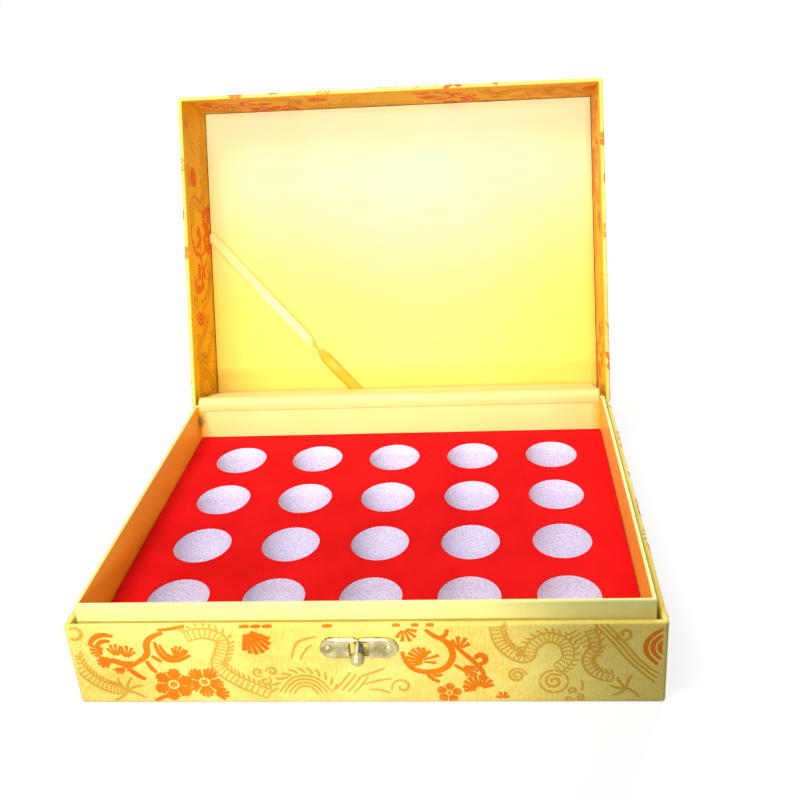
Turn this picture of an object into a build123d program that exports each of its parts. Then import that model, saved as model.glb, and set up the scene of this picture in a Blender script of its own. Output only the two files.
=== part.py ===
from build123d import *
from math import asin, atan2, cos, degrees, pi, radians, sin
import os

os.makedirs("parts", exist_ok=True)

# Brocade-covered presentation box, stored open. Origin: middle of the underside.
# +X runs to the right along the hinge, +Y to the back, +Z up. Millimetres.

# ---- Driving dimensions --------------------------------------------------

box_width = 260.0  # outside, left to right
box_depth = 196.0  # outside, front to back
base_height = 43.0  # outer walls of the base
lid_height = 53.0  # outer walls and top of the lid
corner_round = 2.0  # upright corners of the covered walls
rim_bevel = 0.5  # covered edges of both rims
rim_gap = 0.3  # between the two rims when the box is shut
open_angle = 109.25  # lid's swing from shut to where its satin strip holds it

wall_board = 2.0  # greyboard of the side walls
floor_board = 2.0  # greyboard of the base's floor
top_board = 2.0  # greyboard of the lid's top
brocade = 0.3  # patterned cloth
brocade_turn_in = 14.0  # how far the cloth goes down inside the base's walls
brocade_turn_under = 15.0  # how far it goes under the base
underside_sheet_thickness = 0.4
underside_inset = 4.0  # sheet's edge, in from the walls' outer faces

lip_rise = 8.0  # inner frame above the base's outer rim
lip_gap = 2.0  # between the walls' cloth and the frame's satin
lip_board = 1.2
satin = 0.3  # plain cloth
lip_round = 0.6

tray_drop = 13.5  # tray's face under the base's rim
tray_sheet_thickness = 0.6  # flocked card
tray_clearance = 0.4  # around the foam and the card
cup_columns = 5
cup_rows = 4
cup_pitch_x = 45.8
cup_pitch_y = 41.9
cup_mouth = 29.4  # diameter
cup_depth = 10.0
cup_sides = 24  # flats around each soft bowl

padding = 1.6  # sponge under the lid's top cloth
ceiling_card_thickness = 0.8
ceiling_sponge_edge = 1.4  # its thickness at the edges
ceiling_crown = 0.9  # how much thicker it is in the middle
ceiling_clearance = 0.4  # around the ceiling panel
ribbon_width = 7.0
ribbon_thickness = 0.3
ribbon_side_end = 113.0  # from the hinge line to where it leaves the left wall
ribbon_back_end = 99.0  # from the left wall to where it goes under the back edge
ribbon_lift = 4.4  # its middle, above the ceiling
ribbon_overrun = 0.03  # share of its length past each wall, before it is cut there

strip_lap = 12.0  # outer hinge cloth on each back wall
strip_crest = 3.6  # satin hinge strip's fold, above the inner frame
strip_foot = 3.6  # how far it goes down the frame's inside
strip_side_gap = 1.0  # at each end of the satin strip
strip_ceiling_lap = 3.6  # on the ceiling panel

clasp_offset = -1.0  # clasp's middle, from the box's middle
clasp_width = 34.0
clasp_height = 10.6
clasp_drop = 11.5  # clasp's middle under the base's rim
clasp_rise = 1.8  # drawn plate's face, out from the cloth
clasp_sheet = 0.5
clasp_edge_bevel = 0.45
window_width = 8.4
window_height = 7.2
window_drop = 0.3  # window's middle under the plate's middle
notch_width = 2.8
nail_inset = 3.9  # nail's middle, in from the plate's end
nail_head = 4.0  # diameter
nail_head_height = 0.8
nail_shank = 1.3  # diameter
nail_bite = 1.7  # into the wall
nail_clearance = 0.05

ball_diameter = 6.2
ball_sides = 12  # bands of the turned ball, all round its profile
ball_drop = 12.7  # ball's middle under the base's rim
ball_clearance = 0.4  # behind the ball, to the hasp
arm_diameter = 1.0
arm_overlap = 2.3  # under the plate, each side of the window
arm_clearance = 0.15  # between the arm and the cloth
stalk_diameter = 1.4
spring_sheet = 0.25
spring_width = 3.6
spring_tip = 1.2  # height of its bent end
spring_gap = 0.55  # under the lever's stalk
arm_headroom = 0.1  # arm above the window's top edge

hasp_setback = 16.0  # hasp's pin from the lid's rim
hasp_sheet = 0.6
hasp_width = 12.0
hasp_gap = 0.3  # between the shut hasp and the clasp plate
hasp_bar = 2.2  # metal left under the hasp's slot
slot_width = 7.4
slot_above = 3.6  # slot's top end under the base's rim
slot_below = 15.0  # slot's bottom end under the base's rim
hasp_pin_diameter = 0.9
pin_clearance = 0.05
knuckle_diameter = 2.0
knuckle_gap = 0.3
centre_knuckle = 5.4
hasp_base_width = 16.0
hasp_base_length = 11.5
hasp_base_sheet = 0.5
hasp_base_corner = 1.6
hasp_shoulder = 2.4  # from the pin to where the leaf widens
hasp_nail_pitch = 9.0
hasp_nail_head = 3.2
hasp_nail_head_height = 0.7
hasp_nail_margin = 1.2  # from the nails' heads to the base's lower edge
knuckle_margin = 1.0  # from the outer knuckles to the base's sides

# ---- Values that follow from them ----------------------------------------

wall = wall_board + 2 * brocade
inner_width = box_width - 2 * wall
inner_depth = box_depth - 2 * wall
board_bottom = underside_sheet_thickness + brocade
floor_top = board_bottom + floor_board
lip = lip_board + 2 * satin
lip_width = inner_width - 2 * lip_gap
lip_depth = inner_depth - 2 * lip_gap
lip_top = base_height + lip_rise
nest_width = lip_width - 2 * lip
nest_depth = lip_depth - 2 * lip
tray_top = base_height - tray_drop
tray_width = nest_width - 2 * tray_clearance
tray_depth = nest_depth - 2 * tray_clearance

hinge_y = box_depth / 2
hinge_z = base_height + rim_gap / 2
lean = radians(open_angle - 90)  # open lid, back from upright
along = Vector(0, sin(lean), cos(lean))  # hinge to the lid's front edge
inward = Vector(0, cos(lean), -sin(lean))  # rim to the lid's top

# The lid's pieces are placed from the middle of its rim, in the directions that
# they have on the shut box: x right, y to the hinge, z from the rim to the top.
lid_rim = Plane(
    origin=Vector(0, hinge_y, hinge_z) + along * (box_depth / 2) + inward * (rim_gap / 2),
    x_dir=(1, 0, 0),
    z_dir=inward,
)
lid_up = Axis(lid_rim.origin, lid_rim.z_dir)

padding_bottom = lid_height - brocade - padding
top_board_bottom = padding_bottom - top_board
ceiling_card_bottom = top_board_bottom - ceiling_card_thickness
ceiling_edge = ceiling_card_bottom - ceiling_sponge_edge - satin
ceiling_width = inner_width - 2 * ceiling_clearance
ceiling_depth = inner_depth - 2 * ceiling_clearance

clasp_z = base_height - clasp_drop
clasp_face = Plane(
    origin=(clasp_offset, -box_depth / 2, clasp_z), x_dir=(1, 0, 0), z_dir=(0, -1, 0)
)
nail_pitch = clasp_width - 2 * nail_inset
clasp_inside = clasp_rise - clasp_sheet
hasp_offset = clasp_rise + hasp_gap + hasp_sheet / 2  # pin and leaf, out from the cloth
hasp_front = Plane(
    origin=lid_rim.from_local_coords((clasp_offset, -box_depth / 2, hasp_setback)),
    x_dir=(1, 0, 0),
    z_dir=lid_rim.y_dir * -1,
)
hasp_reach = hasp_setback + rim_gap + slot_below + hasp_bar
slot_near = hasp_setback + rim_gap + slot_above
slot_far = hasp_setback + rim_gap + slot_below


def shifted(plane, x=0.0, y=0.0, z=0.0):
    """The plane moved along its own directions."""
    return Plane(
        origin=plane.from_local_coords((x, y, z)), x_dir=plane.x_dir, z_dir=plane.z_dir
    )


# ---- Base: walls, floor and cloth ----------------------------------------


def wall_ring_space(plane, low, high):
    """The room that four wall boards take, as one solid."""
    with BuildPart() as space:
        with BuildSketch(shifted(plane, z=low)):
            RectangleRounded(
                box_width - 2 * brocade, box_depth - 2 * brocade, corner_round - brocade
            )
            Rectangle(
                box_width - 2 * (brocade + wall_board),
                box_depth - 2 * (brocade + wall_board),
                mode=Mode.SUBTRACT,
            )
        extrude(amount=high - low)
    return space.part


board_space = wall_ring_space(Plane.XY, board_bottom, base_height - brocade)
board_width = box_width - 2 * brocade
board_side = box_depth - 2 * brocade - 2 * wall_board
board_middle_y = (box_depth - wall_board) / 2 - brocade
board_middle_x = (box_width - wall_board) / 2 - brocade

base_boards = {
    "base_front_board": (0, -board_middle_y, board_width, wall_board),
    "base_back_board": (0, board_middle_y, board_width, wall_board),
    "base_left_board": (-board_middle_x, 0, wall_board, board_side),
    "base_right_board": (board_middle_x, 0, wall_board, board_side),
}
for node, (x, y, width, depth) in base_boards.items():
    with BuildPart() as base_board:
        with BuildSketch(Plane.XY.offset(board_bottom)):
            with Locations((x, y)):
                Rectangle(width, depth)
        extrude(amount=base_height - brocade - board_bottom)
        add(board_space, mode=Mode.INTERSECT)
        if node == "base_front_board":
            with BuildSketch(clasp_face):
                with GridLocations(nail_pitch, 0, 2, 1):
                    Circle(nail_shank / 2 + nail_clearance)
            extrude(amount=-nail_bite - nail_clearance, mode=Mode.SUBTRACT)
    base_board.part.label = node
    export_step(base_board.part, f"parts/{node}.step")

with BuildPart() as base_floor_board:
    with BuildSketch(Plane.XY.offset(board_bottom)):
        Rectangle(board_width - 2 * wall_board, board_side)
    extrude(amount=floor_board)
base_floor_board.part.label = "base_floor_board"
export_step(base_floor_board.part, "parts/base_floor_board.step")

# One cloth over the four walls: up the outside, over the rim, a short way down
# the inside, and under the floor's edges.
with BuildPart() as base_brocade:
    with BuildSketch(Plane.XY.offset(underside_sheet_thickness)):
        RectangleRounded(box_width, box_depth, corner_round)
    extrude(amount=base_height - underside_sheet_thickness)
    with BuildSketch(Plane.XY.offset(board_bottom)):
        Rectangle(inner_width, inner_depth)
    extrude(amount=base_height - board_bottom, mode=Mode.SUBTRACT)
    chamfer(base_brocade.edges().group_by(Axis.Z)[-1], rim_bevel)
    add(board_space, mode=Mode.SUBTRACT)
    with BuildSketch(Plane.XY.offset(board_bottom)):
        Rectangle(inner_width + 2 * brocade, inner_depth + 2 * brocade)
    extrude(
        amount=base_height - brocade_turn_in - board_bottom, mode=Mode.SUBTRACT
    )
    with BuildSketch(Plane.XY.offset(underside_sheet_thickness)):
        Rectangle(box_width - 2 * brocade_turn_under, box_depth - 2 * brocade_turn_under)
    extrude(amount=brocade, mode=Mode.SUBTRACT)
    with BuildSketch(clasp_face):
        with GridLocations(nail_pitch, 0, 2, 1):
            Circle(nail_shank / 2 + nail_clearance)
    extrude(amount=-nail_bite, mode=Mode.SUBTRACT)
base_brocade.part.label = "base_brocade"
export_step(base_brocade.part, "parts/base_brocade.step")

with BuildPart() as underside_sheet:
    with BuildSketch():
        RectangleRounded(
            box_width - 2 * underside_inset, box_depth - 2 * underside_inset, corner_round
        )
    extrude(amount=underside_sheet_thickness)
underside_sheet.part.label = "underside_sheet"
export_step(underside_sheet.part, "parts/underside_sheet.step")

# ---- Inner frame that the lid drops over ---------------------------------

lip_board_width = lip_width - 2 * satin
lip_board_side = lip_depth - 2 * satin - 2 * lip_board
lip_middle_y = (lip_depth - lip_board) / 2 - satin
lip_middle_x = (lip_width - lip_board) / 2 - satin
lip_boards = {
    "frame_front_board": (0, -lip_middle_y, lip_board_width, lip_board),
    "frame_back_board": (0, lip_middle_y, lip_board_width, lip_board),
    "frame_left_board": (-lip_middle_x, 0, lip_board, lip_board_side),
    "frame_right_board": (lip_middle_x, 0, lip_board, lip_board_side),
}
for node, (x, y, width, depth) in lip_boards.items():
    with BuildPart() as frame_board:
        with BuildSketch(Plane.XY.offset(floor_top)):
            with Locations((x, y)):
                Rectangle(width, depth)
        extrude(amount=lip_top - satin - floor_top)
    frame_board.part.label = node
    export_step(frame_board.part, f"parts/{node}.step")

with BuildPart() as frame_satin:
    with BuildSketch(Plane.XY.offset(floor_top)):
        Rectangle(lip_width, lip_depth)
        Rectangle(nest_width, nest_depth, mode=Mode.SUBTRACT)
    extrude(amount=lip_top - floor_top)
    fillet(frame_satin.edges().group_by(Axis.Z)[-1], lip_round)
    with BuildSketch(Plane.XY.offset(floor_top)):
        Rectangle(lip_width - 2 * satin, lip_depth - 2 * satin)
        Rectangle(nest_width + 2 * satin, nest_depth + 2 * satin, mode=Mode.SUBTRACT)
    extrude(amount=lip_top - satin - floor_top, mode=Mode.SUBTRACT)
frame_satin.part.label = "frame_satin"
export_step(frame_satin.part, "parts/frame_satin.step")

# ---- Nest: foam with bowl-shaped cups under a flocked card ----------------

cup_radius = cup_mouth / 2
foam_top = tray_top - tray_sheet_thickness

with BuildPart() as cup_space:
    with BuildSketch():
        RegularPolygon(cup_radius, cup_sides)
    extrude(amount=-cup_depth)
    chamfer(cup_space.edges().group_by(Axis.Z)[0], cup_depth * 0.8)

with BuildPart() as foam_block:
    with BuildSketch(Plane.XY.offset(floor_top)):
        Rectangle(tray_width, tray_depth)
    extrude(amount=foam_top - floor_top)
    with Locations((0, 0, foam_top)):
        with GridLocations(cup_pitch_x, cup_pitch_y, cup_columns, cup_rows):
            add(cup_space.part, mode=Mode.SUBTRACT)
foam_block.part.label = "foam_block"
export_step(foam_block.part, "parts/foam_block.step")

with BuildPart() as tray_sheet:
    with BuildSketch(Plane.XY.offset(foam_top)):
        Rectangle(tray_width, tray_depth)
        with GridLocations(cup_pitch_x, cup_pitch_y, cup_columns, cup_rows):
            Circle(cup_radius, mode=Mode.SUBTRACT)
    extrude(amount=tray_sheet_thickness)
tray_sheet.part.label = "tray_sheet"
export_step(tray_sheet.part, "parts/tray_sheet.step")

# ---- Lid: walls, top, padding and cloth -----------------------------------

lid_board_space = wall_ring_space(lid_rim, brocade, top_board_bottom)
lid_boards = {
    "lid_front_board": (0, -board_middle_y, board_width, wall_board),
    "lid_back_board": (0, board_middle_y, board_width, wall_board),
    "lid_left_board": (-board_middle_x, 0, wall_board, board_side),
    "lid_right_board": (board_middle_x, 0, wall_board, board_side),
}
hasp_nail_y = hasp_base_length - hasp_nail_head / 2 - hasp_nail_margin
for node, (x, y, width, depth) in lid_boards.items():
    with BuildPart() as lid_board:
        with BuildSketch(shifted(lid_rim, z=brocade)):
            with Locations((x, y)):
                Rectangle(width, depth)
        extrude(amount=top_board_bottom - brocade)
        add(lid_board_space, mode=Mode.INTERSECT)
        if node == "lid_front_board":
            with BuildSketch(hasp_front):
                with Locations((0, hasp_nail_y)):
                    with GridLocations(hasp_nail_pitch, 0, 2, 1):
                        Circle(nail_shank / 2 + nail_clearance)
            extrude(amount=-nail_bite - nail_clearance, mode=Mode.SUBTRACT)
    lid_board.part.label = node
    export_step(lid_board.part, f"parts/{node}.step")

with BuildPart() as lid_top_board:
    with BuildSketch(shifted(lid_rim, z=top_board_bottom)):
        RectangleRounded(board_width, box_depth - 2 * brocade, corner_round - brocade)
    extrude(amount=top_board)
lid_top_board.part.label = "lid_top_board"
export_step(lid_top_board.part, "parts/lid_top_board.step")

padding_bevel = padding * 0.75
with BuildPart() as lid_padding:
    with BuildSketch(shifted(lid_rim, z=padding_bottom)):
        RectangleRounded(board_width, box_depth - 2 * brocade, corner_round - brocade)
    extrude(amount=padding)
    chamfer(lid_padding.edges().group_by(lid_up)[-1], padding_bevel)
lid_padding.part.label = "lid_padding"
export_step(lid_padding.part, "parts/lid_padding.step")

# One cloth over the lid: the padded top, down the walls, over the rim and up the
# inside of the walls to the ceiling panel's card.
with BuildPart() as lid_brocade:
    with BuildSketch(lid_rim):
        RectangleRounded(box_width, box_depth, corner_round)
    extrude(amount=lid_height)
    chamfer(lid_brocade.edges().group_by(lid_up)[-1], padding_bevel + 0.1)
    with BuildSketch(lid_rim):
        Rectangle(inner_width, inner_depth)
    extrude(amount=top_board_bottom, mode=Mode.SUBTRACT)
    chamfer(lid_brocade.edges().group_by(lid_up)[0], rim_bevel)
    add(lid_board_space, mode=Mode.SUBTRACT)
    add(lid_top_board.part, mode=Mode.SUBTRACT)
    add(lid_padding.part, mode=Mode.SUBTRACT)
    with BuildSketch(hasp_front):
        with Locations((0, hasp_nail_y)):
            with GridLocations(hasp_nail_pitch, 0, 2, 1):
                Circle(nail_shank / 2 + nail_clearance)
    extrude(amount=-nail_bite, mode=Mode.SUBTRACT)
lid_brocade.part.label = "lid_brocade"
export_step(lid_brocade.part, "parts/lid_brocade.step")

# ---- Ceiling panel inside the lid -----------------------------------------

with BuildPart() as ceiling_card:
    with BuildSketch(shifted(lid_rim, z=ceiling_card_bottom)):
        Rectangle(ceiling_width - 2 * satin, ceiling_depth - 2 * satin)
    extrude(amount=ceiling_card_thickness)
ceiling_card.part.label = "ceiling_card"
export_step(ceiling_card.part, "parts/ceiling_card.step")


def crowned_pad(width, depth, top, edge):
    """A pad that hangs under `top`, `edge` thick at its sides and domed by the crown."""
    across = Plane(
        origin=lid_rim.from_local_coords((0, depth / 2, top)),
        x_dir=(1, 0, 0),
        z_dir=lid_rim.y_dir * -1,
    )
    lengthwise = Plane(
        origin=lid_rim.from_local_coords((-width / 2, 0, top)),
        x_dir=lid_rim.y_dir,
        z_dir=(1, 0, 0),
    )
    with BuildPart() as pad:
        with BuildSketch(across):
            with BuildLine():
                Polyline((-width / 2, -edge), (-width / 2, 0), (width / 2, 0), (width / 2, -edge))
                ThreePointArc(
                    (width / 2, -edge), (0, -edge - ceiling_crown), (-width / 2, -edge)
                )
            make_face()
        extrude(amount=depth)
        with BuildSketch(lengthwise):
            with BuildLine():
                Polyline((-depth / 2, -edge), (-depth / 2, 0), (depth / 2, 0), (depth / 2, -edge))
                ThreePointArc(
                    (depth / 2, -edge), (0, -edge - ceiling_crown), (-depth / 2, -edge)
                )
            make_face()
        extrude(amount=width, mode=Mode.INTERSECT)
    return pad.part


with BuildPart() as ceiling_sponge:
    add(
        crowned_pad(
            ceiling_width - 2 * satin,
            ceiling_depth - 2 * satin,
            ceiling_card_bottom,
            ceiling_sponge_edge,
        )
    )
ceiling_sponge.part.label = "ceiling_sponge"
export_step(ceiling_sponge.part, "parts/ceiling_sponge.step")

with BuildPart() as ceiling_satin:
    add(
        crowned_pad(
            ceiling_width,
            ceiling_depth,
            top_board_bottom,
            top_board_bottom - ceiling_edge,
        )
    )
    add(ceiling_sponge.part, mode=Mode.SUBTRACT)
    add(ceiling_card.part, mode=Mode.SUBTRACT)
ceiling_satin.part.label = "ceiling_satin"
export_step(ceiling_satin.part, "parts/ceiling_satin.step")

# ---- Ribbon across the ceiling's back left corner --------------------------

ribbon_stations = 15
twist_start = 0.60
twist_end = 0.80
ribbon_seat = ceiling_edge - ribbon_thickness
ribbon_back_gap = strip_ceiling_lap + 1.0
ribbon_start = Vector(
    -inner_width / 2, box_depth / 2 - ribbon_side_end, ribbon_seat - ribbon_thickness / 2
)
ribbon_finish = Vector(
    ribbon_back_end - inner_width / 2, inner_depth / 2, ribbon_seat - ribbon_thickness / 2
)


def ribbon_plane(t):
    """The ribbon's section plane at a share t of its length, turned by its half twist."""
    chord = ribbon_finish - ribbon_start
    reach = t + ribbon_overrun * (2 * t - 1)
    centre = ribbon_start + chord * reach - Vector(0, 0, ribbon_lift * sin(pi * t))
    share = min(max((t - twist_start) / (twist_end - twist_start), 0.0), 1.0)
    turn = pi * share * share * (3 - 2 * share)
    heading = (lid_rim.x_dir * chord.X + lid_rim.y_dir * chord.Y).normalized()
    flat = (lid_rim.x_dir * chord.Y - lid_rim.y_dir * chord.X).normalized()
    return Plane(
        origin=lid_rim.from_local_coords(centre),
        x_dir=flat * cos(turn) + lid_rim.z_dir * sin(turn),
        z_dir=heading,
    )


with BuildPart() as ribbon:
    for station in range(ribbon_stations + 1):
        with BuildSketch(ribbon_plane(station / ribbon_stations)):
            Rectangle(ribbon_width, ribbon_thickness)
    loft(ruled=True)
    with BuildSketch(shifted(lid_rim, z=ceiling_edge - ribbon_width - ribbon_lift)):
        with Locations((0, -ribbon_back_gap / 2)):
            Rectangle(inner_width - ceiling_clearance, ceiling_depth - ribbon_back_gap)
    extrude(amount=ribbon_width + ribbon_lift, mode=Mode.INTERSECT)
ribbon.part.label = "ribbon"
export_step(ribbon.part, "parts/ribbon.step")

# ---- Cloth hinge -----------------------------------------------------------

strip_touch = brocade / 2 + 0.02
side_view = Plane(origin=(-box_width / 2, 0, 0), x_dir=(0, 1, 0), z_dir=(1, 0, 0))
hinge_point = Vector(0, hinge_y, hinge_z)
hinge_corner_reach = strip_touch * (1 + sin(lean)) / cos(lean)

with BuildPart() as hinge_brocade:
    with BuildSketch(shifted(side_view, z=corner_round)):
        with BuildLine():
            Polyline(
                (hinge_y + strip_touch, hinge_z - strip_lap),
                (
                    hinge_y + strip_touch,
                    hinge_z - hinge_corner_reach * sin(lean) - strip_touch * cos(lean),
                ),
                (
                    hinge_y + strip_lap * cos(lean) - strip_touch * sin(lean),
                    hinge_z - strip_lap * sin(lean) - strip_touch * cos(lean),
                ),
            )
        trace(line_width=brocade)
    extrude(amount=box_width - 2 * corner_round)
hinge_brocade.part.label = "hinge_brocade"
export_step(hinge_brocade.part, "parts/hinge_brocade.step")

# The satin strip rises from the inner frame's back, folds over its top and runs
# to the ceiling panel. It is drawn tight where the lid's swing ends.
frame_inside_y = nest_depth / 2
strip_y = frame_inside_y - strip_touch
strip_end = hinge_point + along * (wall + ceiling_clearance + strip_ceiling_lap)
strip_end = strip_end + inward * (rim_gap / 2 + ceiling_edge - ceiling_crown - satin)
fold_centre = Vector(0, strip_y + strip_crest, lip_top)
fold_to_end = strip_end - fold_centre
fold_slope = atan2(fold_to_end.Z, fold_to_end.Y) + asin(strip_crest / fold_to_end.length)
fold_end = fold_centre + Vector(0, -sin(fold_slope), cos(fold_slope)) * strip_crest

with BuildPart() as hinge_satin:
    with BuildSketch(shifted(side_view, z=(box_width - nest_width) / 2 + strip_side_gap)):
        with BuildLine():
            Line((strip_y, lip_top - strip_foot), (strip_y, lip_top))
            CenterArc(
                (fold_centre.Y, fold_centre.Z),
                strip_crest,
                180,
                degrees(fold_slope) - 90,
            )
            Line((fold_end.Y, fold_end.Z), (strip_end.Y, strip_end.Z))
        trace(line_width=satin)
    extrude(amount=nest_width - 2 * strip_side_gap)
hinge_satin.part.label = "hinge_satin"
export_step(hinge_satin.part, "parts/hinge_satin.step")

# ---- Clasp on the base's front --------------------------------------------

window_top = window_height / 2 - window_drop
pivot_y = window_top + arm_diameter / 2 + arm_headroom
pivot_out = arm_clearance + arm_diameter / 2
ball_y = clasp_drop - ball_drop
ball_out = hasp_offset + hasp_sheet / 2 + ball_clearance + ball_diameter / 2
stalk_elbow = (ball_out * 0.72, pivot_y - 0.5)

with BuildPart() as clasp_plate:
    with BuildSketch(clasp_face):
        SlotOverall(clasp_width, clasp_height)
    extrude(amount=clasp_rise)
    chamfer(clasp_plate.faces().sort_by(Axis.Y)[0].edges(), clasp_edge_bevel)
    with BuildSketch(clasp_face):
        SlotOverall(clasp_width - 2 * clasp_sheet, clasp_height - 2 * clasp_sheet)
    extrude(amount=clasp_inside, mode=Mode.SUBTRACT)
    with BuildSketch(clasp_face):
        with Locations((0, -window_drop)):
            Rectangle(window_width, window_height)
        with Locations((0, clasp_height / 2)):
            Rectangle(notch_width, 2 * (clasp_height / 2 - window_top) + 1)
        with GridLocations(nail_pitch, 0, 2, 1):
            Circle(nail_shank / 2 + nail_clearance)
    extrude(amount=clasp_rise, mode=Mode.SUBTRACT)
clasp_plate.part.label = "clasp_plate"
export_step(clasp_plate.part, "parts/clasp_plate.step")


def nail(face, x, y, seat, head, head_height):
    """A round-headed nail whose head lies on `seat`, driven through the cloth."""
    middle = Plane(
        origin=face.from_local_coords((x, y, 0)), x_dir=face.x_dir, z_dir=face.y_dir * -1
    )
    with BuildPart() as tack:
        with BuildSketch(middle):
            with BuildLine():
                Polyline(
                    (0, -nail_bite),
                    (nail_shank / 2, -nail_bite),
                    (nail_shank / 2, seat),
                    (head / 2, seat),
                    (head * 0.3, seat + head_height),
                    (0, seat + head_height),
                    close=True,
                )
            make_face()
        revolve(axis=Axis(middle.origin, face.z_dir))
    return tack.part


clasp_nail = nail(clasp_face, 0, 0, clasp_rise, nail_head, nail_head_height)
with BuildPart() as clasp_nails:
    with Locations((-nail_pitch / 2, 0, 0), (nail_pitch / 2, 0, 0)):
        add(clasp_nail)
clasp_nails.part.label = "clasp_nails"
export_step(clasp_nails.part, "parts/clasp_nails.step")

# The lever turns on its cross arm, behind the plate. Its stalk comes out through
# the notch and carries the ball that holds the hasp's bar down.
with BuildPart() as clasp_lever:
    arm_end = Plane(
        origin=clasp_face.from_local_coords(
            (-window_width / 2 - arm_overlap, pivot_y, pivot_out)
        ),
        x_dir=(0, 1, 0),
        z_dir=(1, 0, 0),
    )
    with BuildSketch(arm_end):
        Circle(arm_diameter / 2)
    extrude(amount=window_width + 2 * arm_overlap)
    stalk_view = Plane(
        origin=clasp_face.from_local_coords((0, 0, 0)), x_dir=(0, -1, 0), z_dir=(-1, 0, 0)
    )
    with BuildLine(stalk_view) as stalk_path:
        Polyline((pivot_out, pivot_y), stalk_elbow, (ball_out, ball_y))
    with BuildSketch(Plane(origin=stalk_path.wire() @ 0, z_dir=stalk_path.wire() % 0)):
        Circle(stalk_diameter / 2)
    sweep(path=stalk_path.wire(), transition=Transition.RIGHT)
    ball_middle = clasp_face.from_local_coords((0, ball_y, ball_out))
    with BuildSketch(Plane(origin=ball_middle, x_dir=(1, 0, 0), z_dir=(0, -1, 0))) as half:
        RegularPolygon(ball_diameter / 2, ball_sides)
        with Locations((-ball_diameter, 0)):
            Rectangle(2 * ball_diameter, 2 * ball_diameter, mode=Mode.SUBTRACT)
    revolve(axis=Axis(ball_middle, (0, 0, 1)))
clasp_lever.part.label = "clasp_lever"
export_step(clasp_lever.part, "parts/clasp_lever.step")

# A leaf spring lies behind the window and bears up under the stalk's root.
spring_foot = -clasp_height / 2 + clasp_sheet
spring_head = pivot_y - stalk_diameter / 2 - spring_gap
with BuildPart() as clasp_spring:
    with BuildSketch(stalk_view):
        with BuildLine():
            Polyline(
                (spring_sheet / 2, spring_foot),
                (spring_sheet / 2, spring_head - spring_tip),
                (clasp_inside * 0.8, spring_head),
            )
        trace(line_width=spring_sheet)
    extrude(amount=spring_width / 2, both=True)
clasp_spring.part.label = "clasp_spring"
export_step(clasp_spring.part, "parts/clasp_spring.step")

# ---- Hasp on the lid's front ----------------------------------------------

knuckle_end = hasp_base_width / 2 - knuckle_margin


def knuckle(x_low, x_high):
    """A length of the hasp hinge's barrel, with its bore."""
    end = Plane(
        origin=hasp_front.from_local_coords((x_low, 0, hasp_offset)),
        x_dir=hasp_front.y_dir,
        z_dir=(1, 0, 0),
    )
    with BuildPart() as barrel:
        with BuildSketch(end):
            Circle(knuckle_diameter / 2)
            Circle(hasp_pin_diameter / 2 + pin_clearance, mode=Mode.SUBTRACT)
        extrude(amount=x_high - x_low)
    return barrel.part


bore_end = Plane(
    origin=hasp_front.from_local_coords((-hasp_base_width, 0, hasp_offset)),
    x_dir=hasp_front.y_dir,
    z_dir=(1, 0, 0),
)
with BuildPart() as hasp_base:
    with BuildSketch(hasp_front):
        with Locations((0, hasp_base_length / 2)):
            RectangleRounded(hasp_base_width, hasp_base_length, hasp_base_corner)
        with Locations((0, hasp_nail_y)):
            with GridLocations(hasp_nail_pitch, 0, 2, 1):
                Circle(nail_shank / 2 + nail_clearance, mode=Mode.SUBTRACT)
    extrude(amount=hasp_base_sheet)
    for side in (-1, 1):
        x_inner = side * (centre_knuckle / 2 + knuckle_gap)
        x_outer = side * knuckle_end
        with BuildSketch(hasp_front):
            with Locations(((x_inner + x_outer) / 2, knuckle_diameter / 4)):
                Rectangle(abs(x_outer - x_inner), knuckle_diameter / 2)
        extrude(amount=hasp_offset)
        add(knuckle(min(x_inner, x_outer), max(x_inner, x_outer)))
    with BuildSketch(bore_end):
        Circle(hasp_pin_diameter / 2 + pin_clearance)
    extrude(amount=2 * hasp_base_width, mode=Mode.SUBTRACT)
hasp_base.part.label = "hasp_base"
export_step(hasp_base.part, "parts/hasp_base.step")

hasp_nail = nail(
    hasp_front, 0, hasp_nail_y, hasp_base_sheet, hasp_nail_head, hasp_nail_head_height
)
with BuildPart() as hasp_nails:
    with Locations((-hasp_nail_pitch / 2, 0, 0), (hasp_nail_pitch / 2, 0, 0)):
        add(hasp_nail)
hasp_nails.part.label = "hasp_nails"
export_step(hasp_nails.part, "parts/hasp_nails.step")

with BuildPart() as hasp_pin:
    with BuildSketch(shifted(bore_end, z=hasp_base_width - knuckle_end)):
        Circle(hasp_pin_diameter / 2)
    extrude(amount=2 * knuckle_end)
hasp_pin.part.label = "hasp_pin"
export_step(hasp_pin.part, "parts/hasp_pin.step")

# The leaf lies folded back on the lid's front. Its slot passes over the ball when
# the box is shut.
with BuildPart() as hasp_leaf:
    with BuildSketch(shifted(hasp_front, z=hasp_offset - hasp_sheet / 2)):
        with Locations((0, (hasp_reach - hasp_width / 2) / 2)):
            Rectangle(centre_knuckle, hasp_reach - hasp_width / 2)
        with Locations((0, (hasp_reach - hasp_width / 2 + hasp_shoulder) / 2)):
            Rectangle(hasp_width, hasp_reach - hasp_width / 2 - hasp_shoulder)
        with Locations((0, hasp_reach - hasp_width / 2)):
            Circle(hasp_width / 2)
        with Locations((0, (slot_near + slot_far) / 2)):
            SlotOverall(slot_far - slot_near, slot_width, rotation=90, mode=Mode.SUBTRACT)
    extrude(amount=hasp_sheet)
    add(knuckle(-centre_knuckle / 2, centre_knuckle / 2))
    with BuildSketch(bore_end):
        Circle(hasp_pin_diameter / 2 + pin_clearance)
    extrude(amount=2 * hasp_base_width, mode=Mode.SUBTRACT)
hasp_leaf.part.label = "hasp_leaf"
export_step(hasp_leaf.part, "parts/hasp_leaf.step")
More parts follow.
